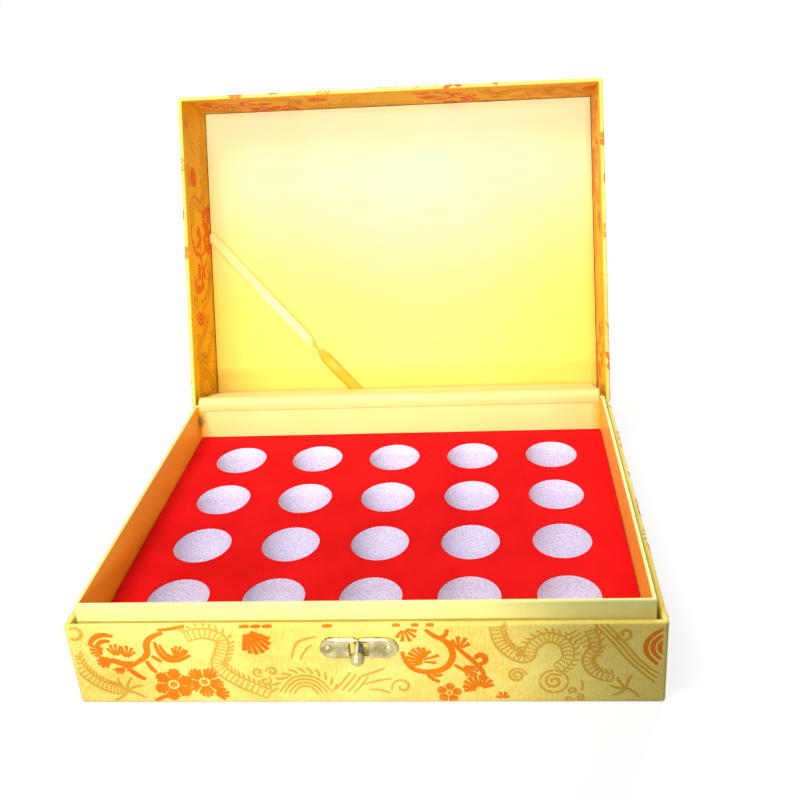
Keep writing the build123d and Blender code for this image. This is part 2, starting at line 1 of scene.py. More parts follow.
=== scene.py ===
import bisect
import math

import bmesh
import bpy
from mathutils import Matrix, Vector, noise


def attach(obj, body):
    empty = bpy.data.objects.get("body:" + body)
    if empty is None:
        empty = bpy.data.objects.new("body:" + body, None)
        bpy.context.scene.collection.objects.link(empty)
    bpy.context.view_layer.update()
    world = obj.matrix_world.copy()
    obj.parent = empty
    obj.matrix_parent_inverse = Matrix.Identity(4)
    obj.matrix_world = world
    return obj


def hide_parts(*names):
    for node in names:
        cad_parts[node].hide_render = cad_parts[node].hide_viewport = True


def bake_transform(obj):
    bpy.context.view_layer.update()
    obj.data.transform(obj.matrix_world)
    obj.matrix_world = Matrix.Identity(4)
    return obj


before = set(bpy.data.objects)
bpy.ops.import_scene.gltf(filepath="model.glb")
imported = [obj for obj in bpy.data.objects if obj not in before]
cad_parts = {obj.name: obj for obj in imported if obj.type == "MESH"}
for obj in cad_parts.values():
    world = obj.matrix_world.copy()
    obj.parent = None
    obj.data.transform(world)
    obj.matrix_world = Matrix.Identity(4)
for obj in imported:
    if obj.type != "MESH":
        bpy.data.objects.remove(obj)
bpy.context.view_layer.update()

# ---- Studio ---------------------------------------------------------------
# A white sweep, a soft light overhead at the left, one behind, one on the open lid
# and a small one low in front, which leaves the front's right end dim. The camera
# stands above the box's front, a little to the right, and is tipped.

scene = bpy.context.scene
scene.view_settings.view_transform = "Standard"

focal_pixels, picture = 931.676, 800
picture_middle = (429.526, 321.490)
camera_place = (0.061289, -0.411523, 0.310509)
yaw, pitch, roll = math.radians(-4.34), math.radians(22.35), math.radians(-3.36)
ahead = Vector(
    (math.sin(yaw) * math.cos(pitch), math.cos(yaw) * math.cos(pitch), -math.sin(pitch))
)
level_right = Vector((math.cos(yaw), -math.sin(yaw), 0))
level_up = level_right.cross(ahead)
right = level_right * math.cos(roll) + level_up * math.sin(roll)
up = level_up * math.cos(roll) - level_right * math.sin(roll)

camera_data = bpy.data.cameras.new("camera")
camera_data.lens = focal_pixels / picture * camera_data.sensor_width
camera_data.shift_x = 0.5 - picture_middle[0] / picture
camera_data.shift_y = picture_middle[1] / picture - 0.5
camera_data.clip_start, camera_data.clip_end = 0.01, 50
camera = bpy.data.objects.new("camera", camera_data)
scene.collection.objects.link(camera)
turn = Matrix((right, up, -ahead)).transposed().to_4x4()
camera.matrix_world = Matrix.Translation(camera_place) @ turn
scene.camera = camera


def new_material(name):
    """A material: itself, its tree, its shader and the piece's own coordinates."""
    made = bpy.data.materials.new(name)
    made.use_nodes = True
    tree = made.node_tree
    tree.nodes.clear()
    shader = tree.nodes.new("ShaderNodeBsdfPrincipled")
    output = tree.nodes.new("ShaderNodeOutputMaterial")
    tree.links.new(shader.outputs["BSDF"], output.inputs["Surface"])
    return made, tree, shader, tree.nodes.new("ShaderNodeTexCoord").outputs["Object"]


def add_node(tree, kind, settings=None, **inputs):
    """A node whose inputs are values or other nodes' outputs."""
    made = tree.nodes.new("ShaderNode" + kind)
    for key, value in (settings or {}).items():
        setattr(made, key, value)
    for key, value in inputs.items():
        socket = made.inputs[int(key[1:])] if key[0] == "_" else made.inputs[key]
        if isinstance(value, bpy.types.NodeSocket):
            tree.links.new(value, socket)
        else:
            socket.default_value = value
    return made


def linear(code):
    """A colour written as six hex digits, as the shader wants it."""
    parts = [int(code[i : i + 2], 16) / 255 for i in (0, 2, 4)]
    parts = [c / 12.92 if c < 0.04045 else ((c + 0.055) / 1.055) ** 2.4 for c in parts]
    return (*parts, 1.0)


def math_node(tree, operation, *values):
    """The result of a sum on values or other nodes' outputs."""
    inputs = {f"_{number}": value for number, value in enumerate(values)}
    return add_node(tree, "Math", {"operation": operation}, **inputs).outputs[0]


def straight_rays(tree):
    """One for the rays that the camera, metal and glass look along."""
    seen = tree.nodes.new("ShaderNodeLightPath")
    looked = math_node(
        tree, "MAXIMUM", seen.outputs["Is Camera Ray"], seen.outputs["Is Glossy Ray"]
    )
    return math_node(tree, "MAXIMUM", looked, seen.outputs["Is Transmission Ray"])


def map_range(tree, value, source, target=(0.0, 1.0), settings=None):
    """A value stretched from one range to another."""
    made = add_node(tree, "MapRange", settings, Value=value)
    made.inputs["From Min"].default_value, made.inputs["From Max"].default_value = source
    made.inputs["To Min"].default_value, made.inputs["To Max"].default_value = target
    return made.outputs["Result"]


world = bpy.data.worlds.new("room")
scene.world = world
world.use_nodes = True
sky = world.node_tree
sky.nodes.clear()
room_light = add_node(sky, "Background", Color=(1, 1, 1, 1), Strength=0.24)
white_back = add_node(sky, "Background", Color=(1, 1, 1, 1), Strength=1.0)
room_mix = add_node(
    sky, "MixShader", _0=straight_rays(sky), _1=room_light.outputs[0], _2=white_back.outputs[0]
)
sky_out = sky.nodes.new("ShaderNodeOutputWorld")
sky.links.new(room_mix.outputs[0], sky_out.inputs["Surface"])

floor_size = 3.0
floor_bm = bmesh.new()
bmesh.ops.create_grid(floor_bm, x_segments=1, y_segments=1, size=floor_size)
floor_mesh = bpy.data.meshes.new("floor")
floor_bm.to_mesh(floor_mesh)
floor = bpy.data.objects.new("floor", floor_mesh)
scene.collection.objects.link(floor)
floor_paint, floor_tree, floor_shader, floor_place = new_material("white_sweep")
floor_shader.inputs["Roughness"].default_value = 0.9
floor_shader.inputs["Base Color"].default_value = linear("959595")
floor_shader.inputs["Specular IOR Level"].default_value = 0.1
floor_reach = add_node(floor_tree, "VectorMath", {"operation": "LENGTH"}, _0=floor_place)
floor_white = map_range(
    floor_tree, floor_reach.outputs["Value"], source=(0.25, 0.7), target=(0.74, 1.0)
)
floor_lift = math_node(floor_tree, "MULTIPLY", straight_rays(floor_tree), floor_white)
floor_glow = add_node(floor_tree, "Emission", Strength=floor_lift)
floor_sum = add_node(
    floor_tree, "AddShader", _0=floor_shader.outputs["BSDF"], _1=floor_glow.outputs["Emission"]
)
floor_tree.links.new(
    floor_sum.outputs[0], floor_tree.nodes["Material Output"].inputs["Surface"]
)
floor_mesh.materials.append(floor_paint)


def lamp(name, kind, place, target, watts, **settings):
    """A light of a kind that faces a point."""
    data = bpy.data.lights.new(name, kind)
    data.energy = watts
    for key, value in settings.items():
        setattr(data, key, value)
    holder = bpy.data.objects.new(name, data)
    scene.collection.objects.link(holder)
    holder.location = place
    holder.rotation_mode = "QUATERNION"
    holder.rotation_quaternion = (Vector(target) - Vector(place)).to_track_quat("-Z", "Y")


lamp("overhead_light", "AREA", (-0.42, -0.46, 1.15), (0.0, 0.05, 0.05), 11.0, size=0.6)
lamp(
    "lid_light", "SPOT", (-0.06, -0.98, 0.59), (0.0, 0.2, 0.22), 41.0,
    spot_size=math.radians(30), spot_blend=0.9, shadow_soft_size=0.05,
)
lamp("back_light", "AREA", (0.45, 1.0, 0.75), (0.0, 0.12, 0.1), 9.0, size=0.5)
lamp(
    "front_light", "SPOT", (-0.05, -0.36, 0.11), (-0.05, -0.098, 0.0), 2.3,
    spot_size=math.radians(60), spot_blend=0.5, shadow_soft_size=0.02,
)

# ---- Greyboard ------------------------------------------------------------
# Solid recycled board, sawn to size and glued edge to edge: walls and floor of
# the base, walls and top of the lid, the thin inner frame and the ceiling card.


def grain(tree, place, scale, detail):
    """Cloudy noise over a place."""
    made = add_node(tree, "TexNoise", Vector=place, Scale=scale, Detail=detail)
    return made.outputs["Fac"]


def cells(tree, place, scale):
    """How far a place lies from the middle of its cell."""
    return add_node(tree, "TexVoronoi", Vector=place, Scale=scale).outputs["Distance"]


def two_tones(tree, value, deep, lit, start=0.0, end=1.0):
    """A colour between two, from a value between a start and an end."""
    ramp = add_node(tree, "ValToRGB", Fac=value)
    stops = ramp.color_ramp.elements
    stops[0].position, stops[0].color = start, linear(deep)
    stops[1].position, stops[1].color = end, linear(lit)
    return ramp.outputs["Color"]


def finish_shader(tree, shader, colour, rough, shine=0.5, relief=None):
    """Joins a colour and a relief (height, strength, depth) to a material's shader."""
    tree.links.new(colour, shader.inputs["Base Color"])
    if isinstance(rough, bpy.types.NodeSocket):
        tree.links.new(rough, shader.inputs["Roughness"])
    else:
        shader.inputs["Roughness"].default_value = rough
    shader.inputs["Specular IOR Level"].default_value = shine
    if relief:
        height, strength, depth = relief
        bump = add_node(tree, "Bump", Height=height, Strength=strength, Distance=depth)
        tree.links.new(bump.outputs["Normal"], shader.inputs["Normal"])


greyboard, tree, shader, place = new_material("greyboard")
fibres = two_tones(tree, grain(tree, place, 900.0, 6.0), "7C766B", "A29B8D")
finish_shader(tree, shader, fibres, 0.9, 0.2, (cells(tree, place, 700.0), 0.25, 0.0001))


def paint(node, material):
    """Gives a carried-over CAD node its material."""
    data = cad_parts[node].data
    data.materials.clear()
    data.materials.append(material)


for node in (
    "base_floor_board base_front_board base_back_board base_left_board base_right_board "
    "frame_front_board frame_back_board frame_left_board frame_right_board "
    "lid_front_board lid_back_board lid_left_board lid_right_board lid_top_board "
    "ceiling_card"
).split():
    paint(node, greyboard)

# ---- Underside ------------------------------------------------------------
# A sheet of cream lining paper pasted over the turned-under cloth, so that no raw
# edge shows when the box is picked up.

lining_paper, tree, shader, place = new_material("lining_paper")
clouds = two_tones(tree, grain(tree, place, 22.0, 3.0), "D3C9AE", "E6DEC6")
pulp = grain(tree, place, 420.0, 8.0)
finish_shader(tree, shader, clouds, 0.8, relief=(pulp, 0.3, 0.00008))
paint("underside_sheet", lining_paper)

# ---- Brocade on the base --------------------------------------------------
# One gold satin-woven cloth glued round the walls: turned under the floor, up the
# outside, over the rim and down inside. The ground is warp floats; flowers and
# dragons are woven into it in thicker silk.

MM = 0.001
box_half = (130.0, 98.0)  # half the outside, left to right and front to back
base_height, wall_thickness, cloth_thickness = 43.0, 2.6, 0.3
sharpest_corner = 0.02


def multiplied(tree, amount, colour, tone):
    """A colour multiplied by a tone, as far as an amount says."""
    mixed = add_node(
        tree, "Mix", {"data_type": "RGBA", "blend_type": "MULTIPLY"},
        _0=amount, _6=colour, _7=linear(tone),
    )
    return mixed.outputs[2]


def painted_shade_tone(tree, colour, tone):
    """A colour that takes on a deeper tone, as painted shade, where the cloth's points are
    marked inside.
    """
    marks = tree.nodes.new("ShaderNodeAttribute")
    marks.attribute_name = "inside"
    return multiplied(tree, marks.outputs["Fac"], colour, tone)


def brocade_cloth(name, lit, deep):
    """Gold cloth: fine upright floats in a satin ground, with a soft sheen."""
    made, tree, shader, place = new_material(name)
    floats = add_node(
        tree, "TexWave", {"wave_type": "BANDS", "bands_direction": "DIAGONAL"},
        Vector=place, Scale=520.0, Distortion=2.4, Detail=2.0,
    )
    slubs = add_node(tree, "Mapping", Vector=place, Scale=(260.0, 260.0, 34.0))
    threads = grain(tree, slubs.outputs[0], 14.0, 4.0)
    shade = math_node(tree, "MULTIPLY_ADD", threads, 0.55, 0.12)
    shade = math_node(tree, "MULTIPLY_ADD", grain(tree, place, 34.0, 3.0), 0.35, shade)
    # Cloth marked inside takes the deeper tone FFD81A: painted shade, standing for shade and
    # light bounced between the gold walls.
    ground = painted_shade_tone(tree, two_tones(tree, shade, deep, lit, 0.4, 0.66), "FFD81A")
    relief = math_node(tree, "MULTIPLY_ADD", floats.outputs["Fac"], 0.5, threads)
    finish_shader(tree, shader, ground, 0.46, 0.07, (relief, 0.45, 0.00015))
    shader.inputs["Sheen Weight"].default_value = 0.02
    shader.inputs["Sheen Roughness"].default_value = 0.4
    return made


gold_brocade = brocade_cloth("gold_brocade", "FFF088", "EDC044")


def ring_direction(vert, half, corner):
    """The way out of a rounded rectangle's wall at one of its vertices."""
    centre = Vector(
        (
            math.copysign(half[0] - corner, vert.co.x),
            math.copysign(half[1] - corner, vert.co.y),
            vert.co.z,
        )
    )
    return centre, (vert.co - centre).normalized()


def set_out(vert, centre, way, reach, height):
    """Places a point of a rounded rectangle at a reach from its corner's centre."""
    vert.co = centre + way * max(reach, sharpest_corner)
    spill = min(reach - sharpest_corner, 0)
    vert.co.x += math.copysign(1, centre.x) * spill
    vert.co.y += math.copysign(1, centre.y) * spill
    vert.co.z = height


def extruded(bm, edges):
    """Extrudes a row of edges: the new points and the new row."""
    made = bmesh.ops.extrude_edge_only(bm, edges=edges)["geom"]
    fresh = [v for v in made if isinstance(v, bmesh.types.BMVert)]
    return fresh, [
        e for e in made
        if isinstance(e, bmesh.types.BMEdge) and all(v in fresh for v in e.verts)
    ]


def sleeve(half, corner, rings, cut=7.0, close=False):
    """A cloth tube round a box: rings of (outset, height) in mm, joined in order."""
    bm = bmesh.new()
    per_corner = 6
    half_step = Matrix.Rotation(math.pi / (4 * per_corner), 4, "Z")
    bmesh.ops.create_circle(bm, segments=4 * per_corner, radius=corner, matrix=half_step)
    for vert in bm.verts:
        vert.co.x += math.copysign(half[0] - corner, vert.co.x)
        vert.co.y += math.copysign(half[1] - corner, vert.co.y)
    outward = {vert: ring_direction(vert, half, corner) for vert in bm.verts}
    fresh, edges = list(bm.verts), list(bm.edges)
    for number, (outset, height) in enumerate(rings):
        if number:
            fresh, edges = extruded(bm, edges)
            outward |= {
                vert: outward[e.other_vert(vert)]
                for vert in fresh
                for e in vert.link_edges
                if e.other_vert(vert) in outward
            }
        for vert in fresh:
            set_out(vert, *outward[vert], corner + outset, height)
    if close:
        bmesh.ops.holes_fill(bm, edges=edges)
    for axis in (0, 1):
        long_edges = [
            e for e in bm.edges
            if abs(e.verts[0].co[axis] - e.verts[1].co[axis]) > 3 * cut
        ]
        if long_edges:
            count = int(2 * half[axis] / cut)
            bmesh.ops.subdivide_edges(bm, edges=long_edges, cuts=count, use_grid_fill=True)
    bmesh.ops.recalc_face_normals(bm, faces=bm.faces)
    return bm


def smooth_by_angle(piece, degrees):
    """Smooth shading across all edges flatter than an angle."""
    piece.data.shade_smooth()
    piece.data.set_sharp_from_angle(angle=math.radians(degrees))


def finish_piece(bm, name, material, body, place=None, angle=180):
    """Turns a bmesh in mm into an object in the row frame that rides on a body."""
    to_metres = Matrix.Scale(MM, 4) @ (place or Matrix.Identity(4))
    bmesh.ops.transform(bm, matrix=to_metres, verts=bm.verts)
    mesh = bpy.data.meshes.new(name)
    bm.to_mesh(mesh)
    bm.free()
    piece = bpy.data.objects.new(name, mesh)
    scene.collection.objects.link(piece)
    mesh.materials.append(material)
    smooth_by_angle(piece, angle)
    if body:
        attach(piece, body)
    return piece


def thicken(bm, thickness):
    """Gives a cloth its thickness, inwards from its outer face."""
    bmesh.ops.solidify(bm, geom=bm.faces[:], thickness=thickness)


def ripple(bm, size, scale, seed):
    """Lets a glued cloth lie a little unevenly."""
    bm.normal_update()
    shift = Vector((seed * 17.0, seed * 5.0, seed * 3.0))
    moves = [
        (v, v.normal * noise.noise(v.co * scale + shift) * size) for v in bm.verts
    ]
    for vert, move in moves:
        vert.co += move


rim_side = ((0.0, 1.4), (0.0, 0.8), (-0.1, 0.35), (-0.35, 0.1), (-0.8, 0.0))
rim_round = [*rim_side, (-wall_thickness / 2, 0.0)]
rim_round += [(-wall_thickness - outset, drop) for outset, drop in reversed(rim_side)]
base_rings = [(-15.0, 0.4), (-2.4, 0.4), (-0.6, 0.42), (-0.15, 0.62), (0.0, 1.2)]
base_rings += [(0.0, height) for height in (3.0, 11.0, 20.0, 29.0, 38.0)]
base_rings += [(outset, base_height - drop) for outset, drop in rim_round]
base_rings += [(-wall_thickness, 36.0), (-wall_thickness, 29.0)]
base_cloth_bm = sleeve(box_half, 2.0, base_rings)
ripple(base_cloth_bm, 0.05, 0.05, 1)
thicken(base_cloth_bm, cloth_thickness)
base_cloth = finish_piece(base_cloth_bm, "base_cloth", gold_brocade, "base")
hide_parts("base_brocade")

# ---- Woven figures --------------------------------------------------------
# Thicker silk woven into the same cloth: peonies, buds and scrolling leaves in
# orange, dragons, claws and clouds in the ground's own gold. One band of them,
# drawn flat in millimetres, repeats and wraps over both rims with the cloth.

band_width, band_height = 260.0, 48.0
band = {"orange": [], "gold": []}


def line(silk, width, *points, root=0.35):
    """A woven line: its silk, its width and the points that guide it."""
    weight = {"orange": 1.45 if root else 1.12, "gold": 1.5}[silk]
    band[silk].append((width * weight, [Vector(p) for p in points], root))


def ray(centre, degrees, reach):
    """The point at a distance and in a direction from a centre."""
    way = math.radians(degrees)
    return Vector(centre) + Vector((math.cos(way), math.sin(way))) * reach


def petal(centre, aim, near, far, spread, fingers=5, width=1.5):
    """A petal: close lines fanned about one direction, with a round edge."""
    for finger in range(fingers):
        share = 2 * finger / (fingers - 1) - 1
        tip = far - (far - near) * 0.25 * share**2
        way = aim + share * spread
        reaches = (near, (near + tip) / 2, tip, tip + 0.2)
        line("orange", width, *(ray(centre, way, reach) for reach in reaches), root=0)


def peony(centre, size, turn=0.0, petals=6):
    """An open blossom of fanned petals about a small seeded heart."""
    for number in range(petals):
        aim = turn + number * 360 / petals
        petal(centre, aim, 0.3 * size, size, 128 / petals, width=0.17 * size)
        seed = (ray(centre, aim, reach * size) for reach in (0.04, 0.12, 0.2))
        line("orange", 0.1 * size, *seed)


def curl(silk, width, centre, start, sweep, outer, inner):
    """A line that winds in towards a centre."""
    steps = max(4, int(abs(sweep) / 40))
    shares = [step / steps for step in range(steps + 1)]
    line(
        silk, width,
        *(ray(centre, start + sweep * s, outer + (inner - outer) * s) for s in shares),
    )


def claw(centre, turn, size):
    """A dragon's foot: five hooked toes."""
    for toe in (-150, -35, 15, 60, 105):
        hook = ray(ray(centre, turn + toe, size), turn + toe - 70, size * 0.25)
        line("gold", 1.1, centre, ray(centre, turn + toe + 8, size * 0.6), hook)


def cloud(centre, size, turn=0.0):
    """A cloud of three curls on a trailing stem."""
    for aim in (0, 125, 235):
        middle = ray(centre, turn + aim, 0.62 * size)
        curl("gold", 0.9, middle, turn + aim + 150, -430, 0.5 * size, 0.08 * size)
    stem = ((-60, 1.0), (-50, 1.5), (-30, 2.1))
    line("gold", 0.9, *(ray(centre, turn + aim, reach * size) for aim, reach in stem))


def spline_points(knots, each=8):
    """Points on a smooth curve through the knots."""
    points = []
    ends = [knots[0], *knots, knots[-1]]
    for a, b, c, d in zip(ends, ends[1:], ends[2:], ends[3:]):
        for step in range(each):
            t = step / each
            points.append(
                tuple(
                    0.5 * (
                        2 * q + (r - p) * t + (2 * p - 5 * q + 4 * r - s) * t * t
                        + (3 * q - p - 3 * r + s) * t**3
                    )
                    for p, q, r, s in zip(a, b, c, d)
                )
            )
    return [*points, knots[-1]]


def dragon_back(girth, *knots):
    """A dragon's body: two outlines, rows of scales and a comb of spines."""
    path = [Vector(p) for p in spline_points(knots, 4)]
    ways = [(b - a).normalized() for a, b in zip(path, path[1:])]
    sides = [Vector((-w.y, w.x)) * girth / 2 for w in ways]
    for side in (-1, 1):
        line("gold", 0.8, *(p + s * side for p, s in zip(path, sides)))
    for p, w, s in zip(path, ways, sides):
        for low in (-0.95, -0.32, 0.32):
            arc = (p + s * low, p + s * (low + 0.32) + w * 1.9, p + s * (low + 0.64))
            line("gold", 0.55, *arc)
        line("gold", 0.9, p + s * 1.2, p + s * 1.6 - w * 0.5, p + s * 1.9 - w * 1.5)


# Left: a spray of buds, a curling leaf and two peonies.
for reach, width in ((4.2, 1.6), (7.6, 2.0)):
    curl("orange", width, (-112.5, 29.5), 165, -105, reach, reach + 0.6)
petal((-112.6, 28.0), 168, 2.0, 7.4, 34)
petal((-110.6, 24.4), 205, 1.6, 7.6, 30)
petal((-108.4, 19.8), 262, 0.6, 4.0, 40, fingers=4, width=1.4)
for root in ((-109, 25.5), (-104.2, 24.5)):
    petal(root, 82, 0.8, 6.8, 42, width=1.4)
line("orange", 2.2, (-116.5, 22.0), (-111, 24.0), (-106.5, 20.8), (-101.5, 22.0))
petal((-104.6, 21.4), 250, 0.4, 3.8, 50, fingers=4, width=1.4)
line(
    "orange", 2.2,
    (-103.6, 19.8), (-97, 23.8), (-94.2, 27.4), (-94.6, 32.6), (-91, 36.8), (-86, 38.4),
)
line("orange", 2.3, (-104, 18.4), (-101.6, 14.6), (-97.8, 12.6))
line("orange", 2.0, (-95.6, 23), (-94.6, 18.8), (-92.2, 16.4))
line("orange", 1.7, (-93, 25.8), (-91, 24.2), (-89, 22.4))
line("orange", 1.6, (-88, 39.8), (-82, 40.2), (-76, 41.8))
line("orange", 1.8, (-90.4, 33.4), (-89.8, 25), (-82, 21.8), (-75.6, 26))
line("orange", 1.4, (-88.4, 32), (-87.4, 26.4), (-81.6, 24), (-76.6, 28.2))
petal((-82.4, 24.6), 62, 0.6, 6.8, 36, width=1.4)
line("orange", 1.6, (-79.6, 25.6), (-77, 27.6), (-76.8, 29))
peony((-85.6, 9.6), 8.8, turn=20)
peony((-71.4, 11.0), 8.4, turn=-15, petals=5)
petal((-67.5, 3.6), 15, 0.6, 6.2, 44, width=1.6)
line("orange", 2.0, (-95.4, 0.4), (-92, 2.2), (-88.8, 3.4))

# Left: a dragon's arm and claw, and a body that winds away from the peonies.
curl("gold", 1.2, (-125.4, 38.6), 200, 290, 4.4, 2.6)
dragon_back(4.6, (-128, 26), (-125.4, 17.5), (-120, 11), (-113.6, 7.2), (-108.6, 6.2))
claw((-107.2, 5.8), 20, 7.6)
dragon_back(
    5.4, (-76.5, 36), (-68, 38), (-60.6, 34.4), (-61.6, 27.6),
    (-64.2, 20.4), (-59, 13.6), (-50.6, 8), (-42, 3.4),
)
cloud((-43.6, 15), 5.6, 30)

# Middle: a hanging bud, fish-scale coils, claws and the folds round the clasp.
petal((-50, 40.2), -62, 3.0, 14.6, 34, fingers=7, width=2.1)
for start in (-52, -47, -42, -16):
    line("orange", 1.5, (start, 41.2), (start + 2.2, 41.6), (start + 4.4, 41.4))
for reach in (5.5, 7.6, 9.7, 11.8):
    curl("gold", 0.8, (-26.6, 3.4), 8, 164, reach, reach)
for spine in range(12, 176, 15):
    bends = ((0, 12.6), (5, 14.4), (12, 15.6))
    line("gold", 1.0, *(ray((-26.6, 3.4), spine + aim, reach) for aim, reach in bends))
for start in (0.0, 2.6, 5.2, 7.8):
    fold = ((-13, 6.8), (-9, 11.6), (-6, 16.2))
    line("gold", 0.9, *((x + start, y - start * 0.3) for x, y in fold))
line("gold", 1.0, (-31, 23.6), (-29.6, 31), (-25, 34.8), (-19, 35.6))
line("gold", 1.0, (-27.4, 23), (-25.4, 28.4), (-21.4, 31.6))
line("gold", 0.9, (-3, 13), (3, 15.6), (9.4, 18.4))
line("gold", 0.9, (-1, 9.4), (5, 11.6), (11.8, 12.6))
line("gold", 0.9, (1.6, 6.4), (7.4, 7), (11, 4.4))
curl("gold", 0.9, (16.2, 8), 200, -400, 5.0, 1.0)

# Middle right: an acanthus scroll with its blossoms.
for start in (14, 22, 28.4):
    line("orange", 1.5, (start, 41.4), (start + 1.8, 41.8), (start + 3.4, 41.4))
petal((18.6, 40), -70, 1.4, 7.2, 52, width=1.7)
line(
    "orange", 2.1, (17.4, 27.4), (18.4, 19.6), (26, 15.6), (36, 17.4),
    (40, 26), (36.4, 33.6), (31, 35.6), (28, 39.2),
)
line("orange", 1.9, (37.4, 39.2), (36.6, 34.4), (32.6, 34.4))
petal((28.4, 21.8), 150, 2.6, 9.6, 46, fingers=7, width=1.8)
petal((24, 22), 20, 2.4, 9.4, 26, fingers=3, width=1.6)
line("orange", 1.8, (27.4, 15.4), (29, 12), (32.8, 10.8))
line("orange", 1.6, (29.8, 14.4), (32, 13.8), (34.2, 14.8))
peony((36.6, 4.6), 5.4, turn=10, petals=5)
line("orange", 1.6, (38.4, 32.6), (43, 27.2), (48.4, 21.4), (52.6, 15.4), (52, 9.6))
petal((43.4, 19.6), 318, 0.6, 7.4, 34, width=1.4)
petal((41.6, 28.6), 75, 1.4, 6.8, 44, fingers=4, width=1.9)
curl("orange", 2.0, (50.4, 23.4), 250, 300, 3.4, 1.4)
line("orange", 1.6, (39.6, 20.2), (43, 16.6), (47.6, 15.4))
petal((50, 6.4), 105, 1.6, 8.2, 80, fingers=9, width=1.9)
petal((60, 1.2), 90, 0.6, 3.8, 60, fingers=4, width=1.6)

# Right: a dragon with its pearl, clouds, comb and whiskers, and a leaf at the end.
dragon_back(
    5.0, (57.6, 40.6), (59, 33), (63.6, 26.6), (70.4, 23.4), (73, 30),
    (79.4, 34.6), (86.4, 31.6), (88, 23.6), (83, 17.4),
)
dragon_back(4.2, (97, 38.6), (99.4, 30), (96, 22.4), (100, 15), (108, 12.4))
curl("gold", 1.0, (66.2, 14.2), 0, 700, 4.4, 0.6)
for aim in (45, 135, 225, 315):
    corner = ((-42, 6.2), (0, 7.6), (42, 6.2))
    line("gold", 1.0, *(ray((82, 10.8), aim + turn, reach) for turn, reach in corner))
curl("gold", 1.0, (82, 10.8), 40, 560, 4.6, 0.7)
for tooth in range(7):
    root = Vector((91.4 + tooth * 1.9, 38.6 - tooth * 1.5))
    line("gold", 0.9, root, root + Vector((-2.0, -2.4)), root + Vector((-4.8, -3.2)))
for start in (0.0, 2.6, 5.0):
    whisker = ((99 + start, 41.4), (107 + start, 31.6), (114.4 + start, 20))
    line("gold", 0.9, *whisker, (125 + start / 4, 10 + start))
claw((113, 7), 120, 6.6)
curl("gold", 1.0, (111.6, 36.2), 200, 420, 4.0, 0.6)
for reach in (4.0, 7.0, 10.0):
    curl("orange", 1.6, (130, 29), 105, 140, reach, reach)
cloud((90.6, 3), 4.4, 100)


def woven_mesh(silk):
    """The band's lines of one silk as a flat mesh in mm, each line domed across."""
    curve = bpy.data.curves.new(silk, "CURVE")
    curve.dimensions, curve.bevel_depth, curve.bevel_resolution = "3D", 0.5, 0
    curve.use_fill_caps = True
    for width, points, root in band[silk]:
        spline = curve.splines.new("NURBS")
        spline.points.add(len(points) - 1)
        for number, (knot, point) in enumerate(zip(spline.points, points)):
            share = number / (len(points) - 1)
            swell = math.sin(math.pi * min(max(share, 0.06), 0.94)) ** 0.6
            knot.co = (*point, 0, 1)
            knot.radius = width * (root + (1 - root) * swell if root else 0.5 + 0.6 * share)
        spline.order_u, spline.use_endpoint_u = 3, True
        spline.resolution_u = 4 if root and 3 < len(points) < 12 else 2
    holder = bpy.data.objects.new(silk, curve)
    mesh = bpy.data.meshes.new_from_object(holder)
    bpy.data.objects.remove(holder)
    mesh.transform(Matrix.Diagonal((1, 1, 0.25, 1)))
    for vert in mesh.vertices:
        vert.co.z = 0.02 + min(vert.co.z, 0.12)
    return mesh


woven = {silk: woven_mesh(silk) for silk in band}


def cut_away(bm, axis, limit):
    """Cuts off what lies past a limit along an axis and closes the cut."""
    normal = Vector((0, 0, 0))
    normal[abs(axis) - 1] = math.copysign(1, axis)
    cut = bmesh.ops.bisect_plane(
        bm, geom=bm.verts[:] + bm.edges[:] + bm.faces[:],
        plane_co=normal * limit, plane_no=normal, clear_outer=True,
    )["geom_cut"]
    rims = [e for e in cut if isinstance(e, bmesh.types.BMEdge) and e.is_boundary]
    bmesh.ops.holes_fill(bm, edges=rims)


def laid_bands(silk, half, low, high, middle):
    """The repeating figures over a stretch of cloth, cut off at its edges."""
    bm = bmesh.new()
    for row in range(math.floor(low / band_height), math.ceil(high / band_height)):
        drop = middle - row * band_width / 2
        first = math.floor((drop - half) / band_width + 0.5)
        last = math.floor((drop + half) / band_width + 0.5)
        for column in range(first, last + 1):
            shift = (column * band_width - drop, row * band_height, 0)
            before = len(bm.verts)
            bm.from_mesh(woven[silk])
            bm.verts.ensure_lookup_table()
            bmesh.ops.translate(bm, vec=shift, verts=bm.verts[before:])
    for axis, limit in ((1, half), (-1, half), (2, high), (-2, -low)):
        cut_away(bm, axis, limit)
    return bm


def join_into(target, piece_bm):
    """Adds one bmesh's mesh to another."""
    holder = bpy.data.meshes.new("holder")
    piece_bm.to_mesh(holder)
    piece_bm.free()
    target.from_mesh(holder)
    bpy.data.meshes.remove(holder)


